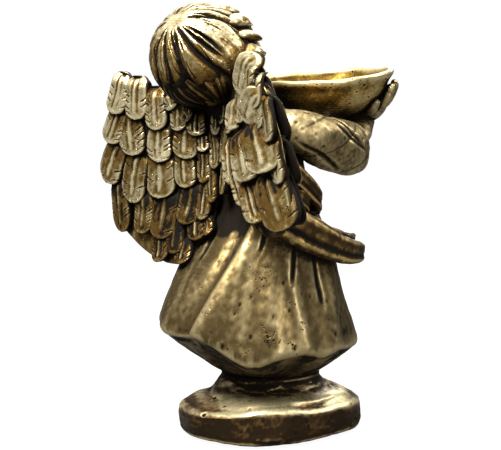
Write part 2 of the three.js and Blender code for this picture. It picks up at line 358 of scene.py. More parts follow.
def agedGroup():
    # antiqued metal paint: dark patina in grooves and painted shade in shut-in places, body colour on the
    # flats with stains in patches, rubbed bright on open ridges; a noise of broad and fine grain breaks up
    # every edge
    number, tint = "NodeSocketFloat", "NodeSocketColor"
    group, enter, leave = newGroup("antiqued_paint", [
        ("Vector", "NodeSocketVector", (0, 0, 0)), ("Hollow_and_shading", number, 0.0), ("Closed", number, 0.0),
        ("Groove", tint, (0.02, 0.014, 0.008, 1)), ("Body", tint, (0.3, 0.2, 0.08, 1)),
        ("Rubbed", tint, (0.8, 0.65, 0.36, 1)), ("Stain", tint, (0.12, 0.08, 0.03, 1)),
        ("Patch", number, 40.0), ("Staining", number, 0.5), ("Rub", number, 0.5), ("Polish", number, 0.3)],
        [("Colour", tint), ("Roughness", number), ("Metal", number)])
    vector, hollow_and_shading, closed = (enter.outputs[label] for label in ("Vector", "Hollow_and_shading", "Closed"))
    broad = noiseNode(group, vector, 40.0, 4.0, 0.62)
    group.links.new(enter.outputs["Patch"], broad.node.inputs["Scale"])
    fine = noiseNode(group, vector, 420.0, 3.0, 0.6)
    worn = plus(group, broad, times(group, fine, 0.35))
    uneven = times(group, maths(group, "SUBTRACT", worn, 0.68), 1.15)
    depth = plus(group, hollow_and_shading, uneven)
    # painted shade: places that other surfaces shut in are darkened here and kept from the rubbed highlight
    shut = ramp(group, plus(group, closed, times(group, uneven, 0.3)), 0.16, 0.52)
    patinaAndShade = maths(group, "MAXIMUM", ramp(group, depth, 0.13, 0.60), times(group, shut, 0.95))
    exposed = maths(group, "SUBTRACT", 1.0, times(group, closed, 1.8), clamp=True)
    bright = times(group, ramp(group, times(group, depth, -1.0), 0.05, 0.75), exposed)
    bright = times(group, bright, enter.outputs["Rub"])
    # the stains gather in grooves as patina and in shut-in places as painted shade
    stain = plus(group, plus(group, broad, times(group, closed, 0.6)), times(group, hollow_and_shading, 0.55))
    stain = times(group, ramp(group, stain, 0.45, 0.66), enter.outputs["Staining"])
    colour = mixColour(group, stain, enter.outputs["Body"], enter.outputs["Stain"])
    colour = mixColour(group, bright, colour, enter.outputs["Rubbed"])
    colour = mixColour(group, patinaAndShade, colour, enter.outputs["Groove"])
    rough = plus(group, enter.outputs["Polish"], times(group, patinaAndShade, 0.4))
    rough = plus(group, rough, times(group, fine, 0.12))
    metal = maths(group, "SUBTRACT", 0.78, times(group, patinaAndShade, 0.5))
    group.links.new(colour, leave.inputs["Colour"])
    group.links.new(rough, leave.inputs["Roughness"])
    group.links.new(metal, leave.inputs["Metal"])
    return group


pitted = scatterGroup()
aged = agedGroup()


def agedPaint(name, look):
    # one painted finish: antiqued colour, pits and a fine bump over the casting
    made, tree, shader, place = newMaterial(name)
    stretch = tree.nodes.new("ShaderNodeMapping")
    stretch.inputs["Scale"].default_value = (1, 1, look.get("stretch", 1.0))
    tree.links.new(place, stretch.inputs["Vector"])
    paint = tree.nodes.new("ShaderNodeGroup")
    paint.node_tree = aged
    tree.links.new(stretch.outputs[0], paint.inputs["Vector"])
    for label in ("Hollow_and_shading", "Closed"):
        value = tree.nodes.new("ShaderNodeAttribute")
        value.attribute_name = label.lower()
        tree.links.new(value.outputs["Fac"], paint.inputs[label])
    for label in ("Groove", "Body", "Rubbed", "Stain"):
        paint.inputs[label].default_value = (*look[label.lower()], 1)
    for label in ("Patch", "Staining", "Rub", "Polish"):
        paint.inputs[label].default_value = look[label.lower()]
    holes = tree.nodes.new("ShaderNodeGroup")
    holes.node_tree = pitted
    tree.links.new(place, holes.inputs["Vector"])
    holes.inputs["Scale"].default_value = look["pitScale"]
    holes.inputs["Amount"].default_value = look["pitAmount"]
    colour = mixColour(tree, holes.outputs["Mask"], paint.outputs["Colour"], (*look["groove"], 1))
    tree.links.new(colour, shader.inputs["Base Color"])
    tree.links.new(paint.outputs["Roughness"], shader.inputs["Roughness"])
    tree.links.new(paint.outputs["Metal"], shader.inputs["Metallic"])
    raiseGrain(tree, shader, holes.outputs["Height"], look["bump"], 0.0008)
    shader.inputs["Specular IOR Level"].default_value = 0.14
    return made


gold = agedPaint("antique_gold", dict(
    groove=(0.007, 0.005, 0.003), body=(0.34, 0.245, 0.092),
    rubbed=(1.0, 0.90, 0.58), stain=(0.19, 0.098, 0.018),
    patch=70.0, staining=0.85, rub=1.0, polish=0.21, pitScale=330.0, pitAmount=0.36, bump=0.8))
brass = agedPaint("antique_brass", dict(
    groove=(0.010, 0.007, 0.004), body=(0.215, 0.156, 0.066),
    rubbed=(0.60, 0.49, 0.26), stain=(0.11, 0.076, 0.030),
    patch=26.0, staining=0.8, rub=0.85, polish=0.31, pitScale=330.0, pitAmount=0.42, bump=0.35, stretch=0.3))
amber = agedPaint("amber_gold", dict(
    groove=(0.010, 0.007, 0.003), body=(0.38, 0.235, 0.045),
    rubbed=(0.95, 0.82, 0.44), stain=(0.13, 0.068, 0.012),
    patch=45.0, staining=0.8, rub=1.0, polish=0.26, pitScale=260.0, pitAmount=0.45, bump=0.5))
walnut = agedPaint("walnut_gold", dict(
    groove=(0.008, 0.006, 0.004), body=(0.125, 0.075, 0.026),
    rubbed=(0.78, 0.55, 0.20), stain=(0.045, 0.026, 0.010),
    patch=90.0, staining=0.8, rub=0.9, polish=0.28, pitScale=300.0, pitAmount=0.3, bump=0.5))
umber = agedPaint("umber_rock", dict(
    groove=(0.012, 0.008, 0.005), body=(0.17, 0.094, 0.034),
    rubbed=(0.92, 0.80, 0.46), stain=(0.028, 0.019, 0.010),
    patch=24.0, staining=0.9, rub=1.0, polish=0.34, pitScale=260.0, pitAmount=0.25, bump=0.5, stretch=2.4))


def plainStuff(name, colour, roughness, metallic, scale, strength):
    # steel or rubber: a fine grain that varies colour, roughness and height a little
    made, tree, shader, place = newMaterial(name)
    grain = noiseNode(tree, place, scale, 4.0)
    darker = tuple(c * 0.6 for c in colour)
    tree.links.new(mixColour(tree, grain, (*darker, 1), (*colour, 1)), shader.inputs["Base Color"])
    tree.links.new(ramp(tree, grain, 0.2, 0.8, roughness - 0.1, roughness + 0.1), shader.inputs["Roughness"])
    shader.inputs["Metallic"].default_value = metallic
    raiseGrain(tree, shader, grain, strength, 0.0003)
    return made


steel = plainStuff("dowel_steel", (0.55, 0.56, 0.58), 0.35, 1.0, 900.0, 0.2)
rubber = plainStuff("pad_rubber", (0.035, 0.034, 0.033), 0.8, 0.0, 700.0, 0.4)
print("paints, steel and rubber mixed")


# plinth
plinthLook = dict(around=420, along=150, shiftY=-15.0, ledge=2.6, lumps=1.5, scars=1.3,
                  rise=9.0, dip=3.5, flat=6.0)  # the slab's edge rises at the back right, dips at the left
# z, half width and half depth of the profile: up the outside, then down the fill hole
plinthRows = [
    (3.0, 20, 22), (3.0, 50, 60), (3.1, 71.5, 83.5), (4.0, 75.5, 87.5), (8, 77, 89), (14, 77.4, 89.4),
    (20, 77.4, 89.4), (24.6, 76.8, 88.8), (26.8, 74.8, 86.4), (28.6, 71.8, 82.6), (31, 69, 78.6),
    (34, 66, 73), (37, 58.5, 64.5), (42, 51, 54), (50, 45.8, 46.8), (55, 45, 45), (56.0, 44, 44),
    (56.0, 32, 32), (56.0, 17, 17), (50, 15.5, 15.5), (30, 15.5, 15.5), (8, 15.5, 15.5)]


def plinthShell():
    # a profile turned round an oval and closed through the fill hole; the slab's edge wanders by sines,
    # broad flats and slanting ledges come from stretched noise, and the neck is left round
    look = plinthLook
    # heights count double while the rows are spaced, so that the upright walls get enough of them
    row = smoothRows([(z * 2, a, b) for z, a, b in plinthRows], look["along"])
    z, a, b = row[:, 0, None] / 2, row[:, 1, None], row[:, 2, None]
    t = turns(look["around"])[None, :]
    rows = np.arange(look["along"])
    outside = (step(rows, 18, 30) * (1 - step(rows, 86, 96)))[:, None]  # not the underside or the hole
    slab = 1 - step(z, 29, 37)
    wander = (2.2 * np.sin(3 * t + 1) + 1.3 * np.cos(5 * t + 0.4) + 0.7 * np.sin(9 * t)) * outside * slab
    far = np.exp(-(turnFrom(t, 14) / 34) ** 2) * outside * step(z, 18, 26) * (1 - step(z, 40, 46))
    wander = wander - look["flat"] * far
    p = np.stack([(a + wander) * np.cos(t), look["shiftY"] + (b + wander) * np.sin(t),
                  z - look["dip"] * far], -1)
    broad = cloud(p * np.array([1, 1, 1.6]), 38, 5, 2)
    layered = np.abs(cloud(p * np.array([1, 1, 3.2]), 26, 9, 2))
    mound = step(z, 33, 38) * (1 - step(z, 50, 55))
    wall = slab * step(z, 4, 9)
    lift = look["lumps"] * broad * (wall + mound) - look["ledge"] * mound * layered
    lift = (lift + 1.2 * mound * bump(z, 38 + 3 * np.sin(2 * t), 2.5)) * outside
    p[..., 0] += np.cos(t) * lift
    p[..., 1] += np.sin(t) * lift
    shelf = step(z, 20, 25) * (1 - step(z, 34, 40)) * outside
    p[..., 2] += shelf * (1.6 * np.sin(2 * t + 0.7) + 1.1 * np.sin(5 * t + 2) + 1.3 * broad)
    near = np.exp(-(turnFrom(t, 140) / 42) ** 2)
    p[..., 2] += look["rise"] * near * step(z, 14, 24) * (1 - step(z, 30, 46)) * outside
    scars = pits(p, 7, 0.3, 31)
    scarred = look["scars"] * scars * (0.6 * mound + 0.8 * shelf + 0.2 * wall)
    p = push(p, (0.22 * cloud(p * np.array([1, 1, 2]), 7, 13, 2) - scarred) * outside, True)
    # the paint is rubbed bright on the slab's upper edge, most of all in two places
    ledge = step(z, 25.2, 26.8) * (1 - step(z, 34, 39)) * outside
    gilt = 0.15 + 1.1 * np.exp(-(turnFrom(t, 133) / 24) ** 2) + 0.9 * np.exp(-(turnFrom(t, 196) / 16) ** 2)
    line = bump(z, 25.4, 0.9) * outside * (0.55 + 0.45 * np.sin(2 * t + 2.0))
    # painted shade: the plinth's neck just under the robe's hem, z 50 to 54, is painted darker
    paint = 0.20 * wall - 1.2 * ledge * gilt - 0.8 * line - 0.30 * mound + 0.25 * step(z, 50, 54)
    return shell(p, paint + 0.3 * scars, wrapU=True, gain=0.8, reach=2)


piece("plinth", [plinthShell()], umber, "plinth_paint", "plinth_casting")


# robe
robeLook = dict(around=440, along=210, foldDepth=6.5, creaseDepth=2.5, pitDepth=0.9)
# z, half width, half depth, y of the middle, and how far the row follows the hem up and down
robeRows = [
    (56.4, 46, 46, -15, 0), (60, 52, 53, -13, 0.1), (68, 63, 64, -9, 0.42), (78, 76, 77, -4, 0.8),
    (86.5, 87, 87, -0.5, 1), (89, 90, 90, 0, 1), (93, 90.3, 90.3, 0, 0.98), (104, 88, 88, 0, 0.8),
    (120, 84, 83, 0, 0.5), (150, 76, 71, -1, 0.12), (175, 69, 59, -3, 0), (200, 60, 47, -4, 0),
    (214, 55, 41, -3, 0), (228, 51.5, 38, -2, 0), (245, 49, 35, 1, 0), (265, 52, 35, 7, 0),
    (285, 55, 34, 14, 0), (297, 46, 29, 22, 0), (305, 30, 22, 28, 0), (311, 20, 17, 33, 0),
    (315, 12, 11, 35, 0)]
# how far the hem rises or drops at each direction in degrees
hemAngles = [20, 50, 75, 101, 115, 130, 141, 152, 165, 179, 192, 219, 245, 268, 290, 312, 335, 358, 380]
hemRise = [4, 11, 8, 12, 4, -9, -10, -4, -1, -6, -2, -5, -10, 2, -5, 5, -4, 5, 4]
# soft folds: direction at z=100, direction at z=210, height, half width, all in degrees and millimetres
softFolds = [
    (150, 146, 2.6, 8), (168, 152, 3.4, 6), (188, 205, 4.2, 9), (222, 216, 1.5, 9), (262, 250, 5.0, 9),
    (296, 280, 5.0, 9), (330, 312, 5.0, 10), (2, 350, 5.0, 9), (36, 28, 4.2, 9), (70, 62, 2.5, 12)]
# narrow creases: direction and z where they start, direction and z where they end
creases = [
    (139, 205, 135, 172), (163, 186, 160, 145), (181, 184, 182.5, 124), (205, 190, 210, 150),
    (236, 205, 240, 140), (272, 200, 276, 120), (305, 205, 312, 150), (340, 200, 345, 130),
    (20, 195, 24, 140), (92, 205, 84, 160), (255, 262, 250, 225), (285, 262, 290, 228)]


def robeShell():
    # ovals stacked up a profile: the lower ones follow the wandering hem, soft folds and narrow creases
    # are bells of angle that fade with height, and the cloth has gathers, fine noise and small pits
    look = robeLook
    row = smoothRows(robeRows, look["along"])
    t = turns(look["around"])[None, :]
    facing = np.degrees(t) % 360
    rise = np.interp(facing + np.where(facing < hemAngles[0], 360, 0), hemAngles, hemRise)
    kernel = np.exp(-np.linspace(-2, 2, 15) ** 2)
    rise = np.convolve(np.tile(rise[0], 3), kernel / kernel.sum(), "same")
    rise = rise[None, look["around"]:2 * look["around"]]
    z0, a, b, cy, follow = (row[:, k, None] for k in range(5))
    z = z0 + follow * rise
    skirt = step(z0, 86, 92) * (1 - step(z0, 190, 232))
    fold = np.zeros_like(z)
    for low, high, height, wide in softFolds:
        turn = ((high - low + 180) % 360 - 180) / 110
        d = turnFrom(t, low + turn * (z - 100))
        fold += height * np.exp(-(d / wide) ** 2) * step(-z, -225, -120)
    fold -= 4.0 * np.exp(-(turnFrom(t, 234) / 24) ** 2) * bump(z, 126, 26)  # a shallow dent
    d = turnFrom(t, 101 + 0.25 * (z - 101))  # the long fold that overlaps the panel behind it
    lap = np.where(d > 0, np.exp(-(d / 15) ** 2), np.exp(-(d / 3.2) ** 2))
    lap = lap - 0.5 * np.exp(-((d + 8) / 6.5) ** 2)
    fold += look["foldDepth"] * lap * step(z, 84, 105) * (1 - step(z, 205, 228))
    cut = np.zeros_like(fold)
    for t0, z1, t1, z2 in creases:
        s = np.clip((z - z1) / (z2 - z1), 0, 1)
        d = turnFrom(t, t0 + (t1 - t0) * s)
        run = step(z, z2 - 4, z2 + 14) * (1 - step(z, z1 - 3, z1 + 8))
        cut += np.exp(-(d / 1.7) ** 2) * run
    fold -= look["creaseDepth"] * cut
    under = 1 - step(z0, 84, 89)
    fold = fold * np.maximum(skirt, 0.55 * under * step(z0, 60, 80))
    gather = step(z, 228, 250) * (1 - step(z, 285, 300))
    fold += 1.6 * gather * np.sin(9 * t + 0.05 * z) * (np.sin(t) < 0.2)
    flat = np.stack([a * np.cos(t), cy + b * np.sin(t), z], -1)
    fold += 0.9 * cloud(flat * np.array([1, 1, 0.45]), 24, 41, 2) + 0.25 * cloud(flat, 6, 43, 2)
    thick = step(cloud(flat, 30, 51, 2), -0.35, 0.5)  # flecks gather in patches
    flecks = pits(flat * np.array([1, 1, 0.55]), 4.0, 0.34, 47) * step(z0, 80, 92) * thick
    out = fold - look["pitDepth"] * flecks
    p = np.stack([(a + out) * np.cos(t), cy + (b + out) * np.sin(t), z], -1)
    # painted shade: spine darkens the robe's back between the wings, and under the underside below the hem
    spine = np.exp(-(turnFrom(t, 96) / 44) ** 2) * step(z, 178, 205)
    patinaAndShade = 0.6 * cut + 0.46 * under + 1.3 * flecks + 1.8 * spine
    patinaAndShade += 0.35 * step(z, 208, 232) - 0.08 * bump(z0, 89, 4)
    smudge = step(cloud(flat * np.array([1, 1, 0.7]), 14, 57, 3), 0.1, 0.55) * (1 - step(z, 92, 128))
    # long upright streaks
    streaks = softNoise(np.stack([np.degrees(t) * 1.5 + 0 * z, z / 14, 0 * z], -1), 5.0, 59)
    patinaAndShade += 0.5 * smudge + 0.27 * streaks * skirt
    return shell(p, patinaAndShade - 0.06, gain=0.5, reach=3)


piece("robe", [robeShell()], brass, "robe_paint", "robe_casting")


# head: face, neck and hair in locks
headLook = dict(centre=(4.0, 61.0, 344.0), size=(46.0, 48.0, 47.0), crown=(-0.05, 0.74, 0.67),
                around=520, along=186, locks=21, strands=70, grooveDepth=4.3, strandDepth=0.8)
faceLook = dict(centre=(3.0, 44.0, 341.0), half=(37.0, 41.0, 43.0), look=(0.0, -0.95, 0.31),
                around=260, along=200)


def frameOf(axis, hint):
    # three square directions: the axis, one towards the hint, and one across both
    w = np.array(axis, float)
    w /= np.linalg.norm(w)
    u = np.array(hint, float) - np.dot(hint, w) * w
    u /= np.linalg.norm(u)
    return w, u, np.cross(w, u)


def faceShell():
    # an egg gridded round its line of sight, swelled by soft bumps placed by angle across and up from
    # the middle of the face: brow, closed lids, nose, cheeks, lips and chin on plain child proportions
    front, up, right = frameOf(faceLook["look"], (0, 0, 1))
    s = (np.linspace(0, 1, faceLook["along"]) ** 0.8)[:, None]
    polar = 0.004 + s * (math.pi - 0.008)
    t = turns(faceLook["around"])[None, :]
    d = (front * np.cos(polar)[..., None] + up * (np.sin(polar) * np.cos(t))[..., None]
         + right * (np.sin(polar) * np.sin(t))[..., None])
    f, h, c = d @ front, d @ up, d @ right
    across = np.degrees(np.arctan2(c, np.maximum(f, 1e-3) + 0.0001))
    high = np.degrees(np.arcsin(np.clip(h, -1, 1)))
    facing = step(f, 0.05, 0.4)

    def spot(a, e, wa, we):
        return np.exp(-((across - a) / wa) ** 2 - ((high - e) / we) ** 2) * facing

    def pair(a, e, wa, we):
        return spot(a, e, wa, we) + spot(-a, e, wa, we)

    swell = 2.0 * spot(0, 34, 40, 14) - 2.6 * pair(21, 4, 12, 8) + 2.4 * pair(21, 3, 8.5, 5.2)
    swell += 1.3 * pair(22, 13, 14, 3.2) - 0.9 * pair(21, -1.5, 9, 1.1) + 3.0 * pair(30, -17, 15, 12)
    swell += 3.4 * spot(0, 2, 4.5, 12) + 6.6 * spot(0, -12, 5.5, 6.5) + 2.4 * pair(7.5, -14.5, 3.6, 3.4)
    swell -= 1.4 * pair(4.2, -18, 2.0, 1.4) + 1.0 * spot(0, -21.5, 2.2, 3.0)
    swell += 3.0 * spot(0, -28, 13, 7) + 1.4 * pair(3.4, -25.2, 4.5, 1.8) + 1.7 * spot(0, -31.2, 7.5, 2.2)
    swell -= 1.5 * spot(0, -28.2, 11, 0.9) + 0.9 * pair(12.5, -28, 2.4, 2.4) + 1.5 * spot(0, -36, 9, 2.6)
    swell += 4.2 * spot(0, -43, 13, 8)
    narrow = 1 - 0.16 * step(-h, 0.1, 0.95)
    half = faceLook["half"]
    p = (right * (c * half[0] * narrow)[..., None] + front * (f * half[1])[..., None]
         + up * (h * half[2])[..., None]) + d * swell[..., None] + np.array(faceLook["centre"])
    lines = 0.5 * pair(21, -1.5, 9, 1.3) + 0.5 * spot(0, -28.2, 10, 1.1) + 0.3 * pair(4.2, -18, 2.4, 1.8)
    lines += 0.35 * pair(21, 7.6, 9, 1.4)
    return shell(p, lines + 0.05, gain=1.6, reach=3)


def neckShell():
    # a short round limb from inside the collar up into the head
    path = [(2, 33, 298, 17, 17), (2, 36, 309, 15.5, 15.5), (2, 41, 322, 15, 15), (3, 46, 336, 16, 16)]
    grid, u, t = limb(path, 40, 60)
    return shell(grid, 0.2 + 0 * u + 0 * t)


def hairSurface(polar, turn, out):
    # a point of the hair's ball: polar angle from the crown, turn round it, height above the ball
    w, u, v = frameOf(headLook["crown"], (0, -1, 0.2))
    d = (w * np.cos(polar)[..., None] + u * (np.sin(polar) * np.cos(turn))[..., None]
         + v * (np.sin(polar) * np.sin(turn))[..., None])
    size = np.array(headLook["size"]) - 3.0
    return np.array(headLook["centre"]) + d * (size + out[..., None]), d


def hairShell():
    # a ball of smooth hair cut by dark grooves that radiate from the crown: each starts at its own
    # distance and widens downwards. Finer strands lie between them, a swelling covers each ear, and
    # the lower edge turns in under the locks
    look = headLook
    radius = look["size"][0]
    rng = np.random.default_rng(5)
    s = np.linspace(0, 1, look["along"])[:, None]
    t = turns(look["around"])[None, :]

    def offLine(at):
        # distance over the ball from a line that runs down it at this turn
        return np.abs((t - at + np.pi) % (2 * np.pi) - np.pi) * np.sin(polar) * radius


    back = (1 - np.cos(t)) / 2  # 0 over the forehead, 1 at the nape
    end = np.radians(90 + 22 * back ** 0.7 + 3.0 * np.sin(11 * t) + 2 * np.sin(7 * t + 1))
    polar = 0.006 + np.clip(s / 0.9, 0, 1) * (end - 0.006)
    flat, d = hairSurface(polar, t, np.zeros_like(polar + t))
    ear = sum(np.exp(-np.sum(((d - np.array(at)) / np.array([0.8, 0.36, 0.34])) ** 2, -1))
              for at in ((-0.95, -0.06, -0.04), (0.95, -0.06, -0.04)))
    smooth = np.clip(ear * 1.6, 0, 1)
    gap = np.zeros_like(polar + t)
    for k in range(look["locks"]):
        at = 2 * np.pi * (k + rng.uniform(-0.22, 0.22)) / look["locks"]
        start = rng.uniform(0.10, 0.42)
        wide = rng.uniform(0.75, 1.25)
        swing = 0.16 * math.sin(2.3 * k) * polar + 0.05 * np.sin(3.5 * polar + k)
        width = wide * (0.9 + 2.3 * step(polar, start, 1.5))
        gap = np.maximum(gap, np.exp(-(offLine(at + swing) / width) ** 2) * step(polar, start, start + 0.35))
    strands = np.zeros_like(gap)
    for k in range(look["strands"]):
        at = 2 * np.pi * (k + rng.uniform(-0.4, 0.4)) / look["strands"]
        start = rng.uniform(0.2, 1.2)
        stop = start + rng.uniform(0.3, 0.9)
        wave = 0.05 * np.sin(4 * polar + k)
        there = step(polar, start, start + 0.15) * (1 - step(polar, stop - 0.15, stop))
        strands = np.maximum(strands, np.exp(-(offLine(at + wave) / 0.7) ** 2) * there)
    low = step(polar, 1.1, 2.0)
    belly = 1.8 * np.sin(np.clip(polar / 1.9, 0, 1) * np.pi)
    out = belly - look["grooveDepth"] * gap * (1 - 0.85 * smooth)
    out = out - look["strandDepth"] * strands * (1 - smooth) + 4.4 * ear
    out = out + 0.9 * cloud(flat, 15, 61, 2) * step(polar, 0.1, 0.4) + 0.3 * cloud(flat, 4, 67, 2)
    tuck = step(s, 0.9, 1.0)
    out = out - 1.5 * step(s, 0.86, 0.9) - 30 * tuck
    p, d = hairSurface(polar * (1 - 0.1 * tuck), t, out)
    # painted shade on the lower hair (low) and at the nape; the hair above z 345 gets a painted highlight
    nape = step(338.0 - p[..., 2], 0, 30)
    paint = (1.15 * gap * (1 - 0.7 * smooth) + 0.5 * strands + 0.42 * low + 0.9 * nape
             - 0.5 * step(p[..., 2], 345, 380))
    return shell(p, paint - 0.12 - 0.3 * bump(ear, 0.55, 0.15), gain=0.55, reach=2)


def lockShell(turnDeg, startDeg, length, width, curl, seed):
    # one pointed lock: a flattened tube that runs down over the ball and lifts off it towards its tip
    s = np.linspace(0, 1, 6)
    polar = np.radians(startDeg + length * s)
    turn = np.radians(turnDeg + 5 * np.sin(s * 3 + seed))
    base, d = hairSurface(polar, turn, -1.8 + (curl + 2.2) * s ** 1.5)
    wide = width * np.array([0.5, 0.9, 1.0, 0.85, 0.5, 0.06])
    thick = 0.5 * wide + 0.3
    row = smoothRows(np.column_stack([base, d, wide, thick]), 34)
    c, outward, wd, th = row[:, :3], row[:, 3:6], row[:, 6], row[:, 7]
    way = np.gradient(c, axis=0)
    way /= np.linalg.norm(way, axis=1, keepdims=True)
    across = np.cross(outward, way)
    across /= np.linalg.norm(across, axis=1, keepdims=True)
    up = np.cross(way, across)
    a = turns(28)
    strand = 1 - 0.25 * np.abs(np.sin(2 * np.arccos(np.clip(np.cos(a), -1, 1)))) * (np.sin(a) > 0)
    grid = (c[:, None] + across[:, None] * (wd[:, None] * np.cos(a))[..., None]
            + up[:, None] * (th[:, None] * np.sin(a) * strand)[..., None])
    # painted shade: the locks are painted darker below z 336, towards the nape
    low = step(336.0 - grid[..., 2], 0, 28)
    return shell(grid, 0.95 * low + 0.1, reach=2)


locksLook = dict(count=20, first=66, last=294, length=46, width=4.8)


def hairLocks():
    # locks in a row round the back of the head's lower edge, short beside the ears and none over them
    look = locksLook
    rng = np.random.default_rng(12)
    made = []
    for k in range(look["count"]):
        turn = look["first"] + (look["last"] - look["first"]) * k / (look["count"] - 1) + rng.uniform(-4, 4)
        back = (1 - math.cos(math.radians(turn))) / 2
        ear = math.exp(-((abs(turn - 180) - 84) / 28) ** 2)
        if ear > 0.7:
            continue
        length = look["length"] - 24 * ear + 9 * rng.random()
        width = look["width"] + 1.6 * rng.random()
        made.append(lockShell(turn, 62 + 16 * back + 30 * ear, length, width, 0.2 + 1.6 * rng.random(), k))
    return made


curlLook = dict(count=13, reach=126, line=46, back=98, thick=7.6, sweep=26, over=1.5, sink=4.6)


def curlShells():
    # short thick locks round the face: each runs forward over the head to the hairline, sweeps sideways
    # and lifts its blunt tip; the row over the forehead lies nearer the brow than those by the jaw
    look = curlLook
    centre, half = np.array(faceLook["centre"]), np.array(faceLook["half"])
    ahead, side, up = frameOf(faceLook["look"], (1, 0, 0))
    if up[2] < 0:
        up = -up
    rng = np.random.default_rng(31)
    made = []
    for k in range(look["count"]):
        turn = math.radians(-look["reach"] + 2 * look["reach"] * k / (look["count"] - 1))
        lower = abs(math.degrees(turn)) / look["reach"]
        line = look["line"] + 30 * lower ** 1.5 + rng.uniform(-3, 3)
        s = np.linspace(0, 1, 6)
        away = np.radians(look["back"] + (line - look["back"]) * s)
        way = turn + math.radians(look["sweep"]) * s ** 2 * rng.uniform(-1.0, 1.2)
        d = (ahead * np.cos(away)[:, None] + up * (np.sin(away) * np.cos(way))[:, None]
             + side * (np.sin(away) * np.sin(way))[:, None])
        sink = look["sink"] * float(1 - step(lower, 0.25, 0.65))
        lift = np.array([-3, 0.5, 2.2, 3.0, 4.0, 6.6 - 0.3 * sink])
        rise = look["over"] - sink + lift * rng.uniform(0.8, 1.2)
        path = centre + d * (half + rise[:, None])
        size = look["thick"] * np.array([0.7, 1.0, 1.15, 1.0, 0.7, 0.2]) * rng.uniform(0.72, 1.2)
        grid, u, t = limb(np.column_stack([path, size, size * 0.8]), 44, 30)
        strand = np.abs(np.sin(1.5 * t + 2 * u + k))
        grid = push(grid, 0.7 * strand - 0.4 + 0.3 * cloud(grid, 5, 131, 2))
        made.append(shell(grid, 0.35 - 0.6 * strand + 0.5 * lower + 0 * u, gain=0.7, reach=2))
    return made


piece("head_and_face", [faceShell(), neckShell()], gold, "bronze_paint", "head_casting")
piece("hair", [hairShell()], gold, "bronze_paint", "head_casting")
piece("hair_curls", curlShells(), gold, "bronze_paint", "head_casting")
piece("hair_locks", hairLocks(), gold, "bronze_paint", "head_casting")


# wings
wingLook = dict(rootY=40.0, camber=5.0, backGrid=(42, 40), turnedGrid=(46, 44), frontGrid=(30, 28))
# z, inner edge, outer edge and thickness of the plain body of each wing
leftRows = [
    (156, 36, 54, 3), (162, 24, 78, 6), (172, 14, 100, 7), (183, 8, 114, 7), (200, 5, 117, 7),
    (230, 4, 123, 7), (258, 4, 122, 7), (282, 5, 111, 7), (302, 8, 103, 7), (306, 30, 99, 6),
    (309, 56, 94, 5), (314, 72, 88, 3)]
rightRows = [
    (194, 84, 104, 3), (200, 64, 116, 6), (210, 46, 122, 7), (226, 30, 126, 7), (245, 12, 128, 7),
    (262, 5, 128, 7), (284, 5, 124, 7), (302, 8, 118, 7), (314, 26, 111, 6), (325, 46, 100, 5),
    (333, 62, 88, 3)]
# each feather: its tip's distance out from the spine and z, length, width, and lean outwards in degrees
leftFeathers = [
    (38, 166, 36, 20, -9), (56, 157, 34, 22, -12), (15, 180, 28, 19, -10), (5, 185, 20, 11, -18),
    (28, 158, 26, 18, -8), (109, 180, 54, 22, -3), (82, 181, 42, 26, -2), (59, 178, 50, 30, 6),
    (31, 193, 42, 24, 4), (13, 198, 40, 14, 0), (123, 226, 48, 26, 24), (93, 209, 52, 29, 16),
    (59, 215, 44, 29, 2), (30, 226, 38, 23, -2), (13, 231, 34, 14, -7), (114, 264, 38, 22, 24),
    (86, 253, 42, 27, 0), (58, 248, 38, 26, 0), (31, 252, 34, 23, 0), (14, 259, 18, 12, -10),
    (104, 291, 40, 22, 15), (80, 286, 40, 24, 3), (59, 277, 40, 23, -4), (37, 277, 30, 18, -8),
    (20, 273, 24, 17, -3), (42, 296, 16, 14, -30), (26, 287, 14, 12, -40), (3, 244, 42, 12, -4),
    (4, 214, 42, 12, -6), (3, 274, 34, 12, 0)]
rightFeathers = [
    (61, 216, 40, 14, 26), (87, 205, 46, 20, 24), (122, 206, 50, 26, 12), (34, 233, 44, 15, 14),
    (66, 240, 46, 22, 14), (106, 248, 50, 27, 10), (124, 240, 40, 20, 8), (30, 276, 34, 19, 4),
    (60, 287, 36, 25, -8), (98, 282, 42, 24, 6), (116, 274, 40, 20, 12), (80, 309, 32, 24, -8),
    (22, 258, 36, 14, 4), (98, 300, 30, 20, 10), (10, 250, 46, 13, 6), (13, 222, 42, 12, 10),
    (9, 284, 36, 13, 2)]
# the upper layer of the right wing; the last number turns the blade outwards
turnedFeathers = [
    (74, 219, 46, 13, 46, 33), (98, 207, 46, 22, 33, 33), (131, 203, 54, 28, 28, 33),
    (50, 236, 44, 15, 22, 33), (84, 240, 48, 24, 24, 33), (118, 250, 48, 28, 28, 33),
    (54, 281, 28, 19, 8, 26), (88, 288, 34, 26, -34, 24), (72, 311, 38, 27, -30, 15)]


def wingPoint(t, z, side, out):
    # a place on the wing's back face: t out from the spine, z up, out proud of the surface
    sweep = 0.23 + 0.2 * (z - 187) / 140
    overRobe = 22 * np.exp(-(z - 150) / 34) * np.clip(1 - t / 150, 0, 1)
    y = wingLook["rootY"] + sweep * t + overRobe + wingLook["camber"] * (1 - ((t - 62) / 66) ** 2)
    n = 1 / np.sqrt(1 + sweep ** 2)
    return np.stack([side * (t - sweep * n * out), y + n * out, z + 0 * t], -1)


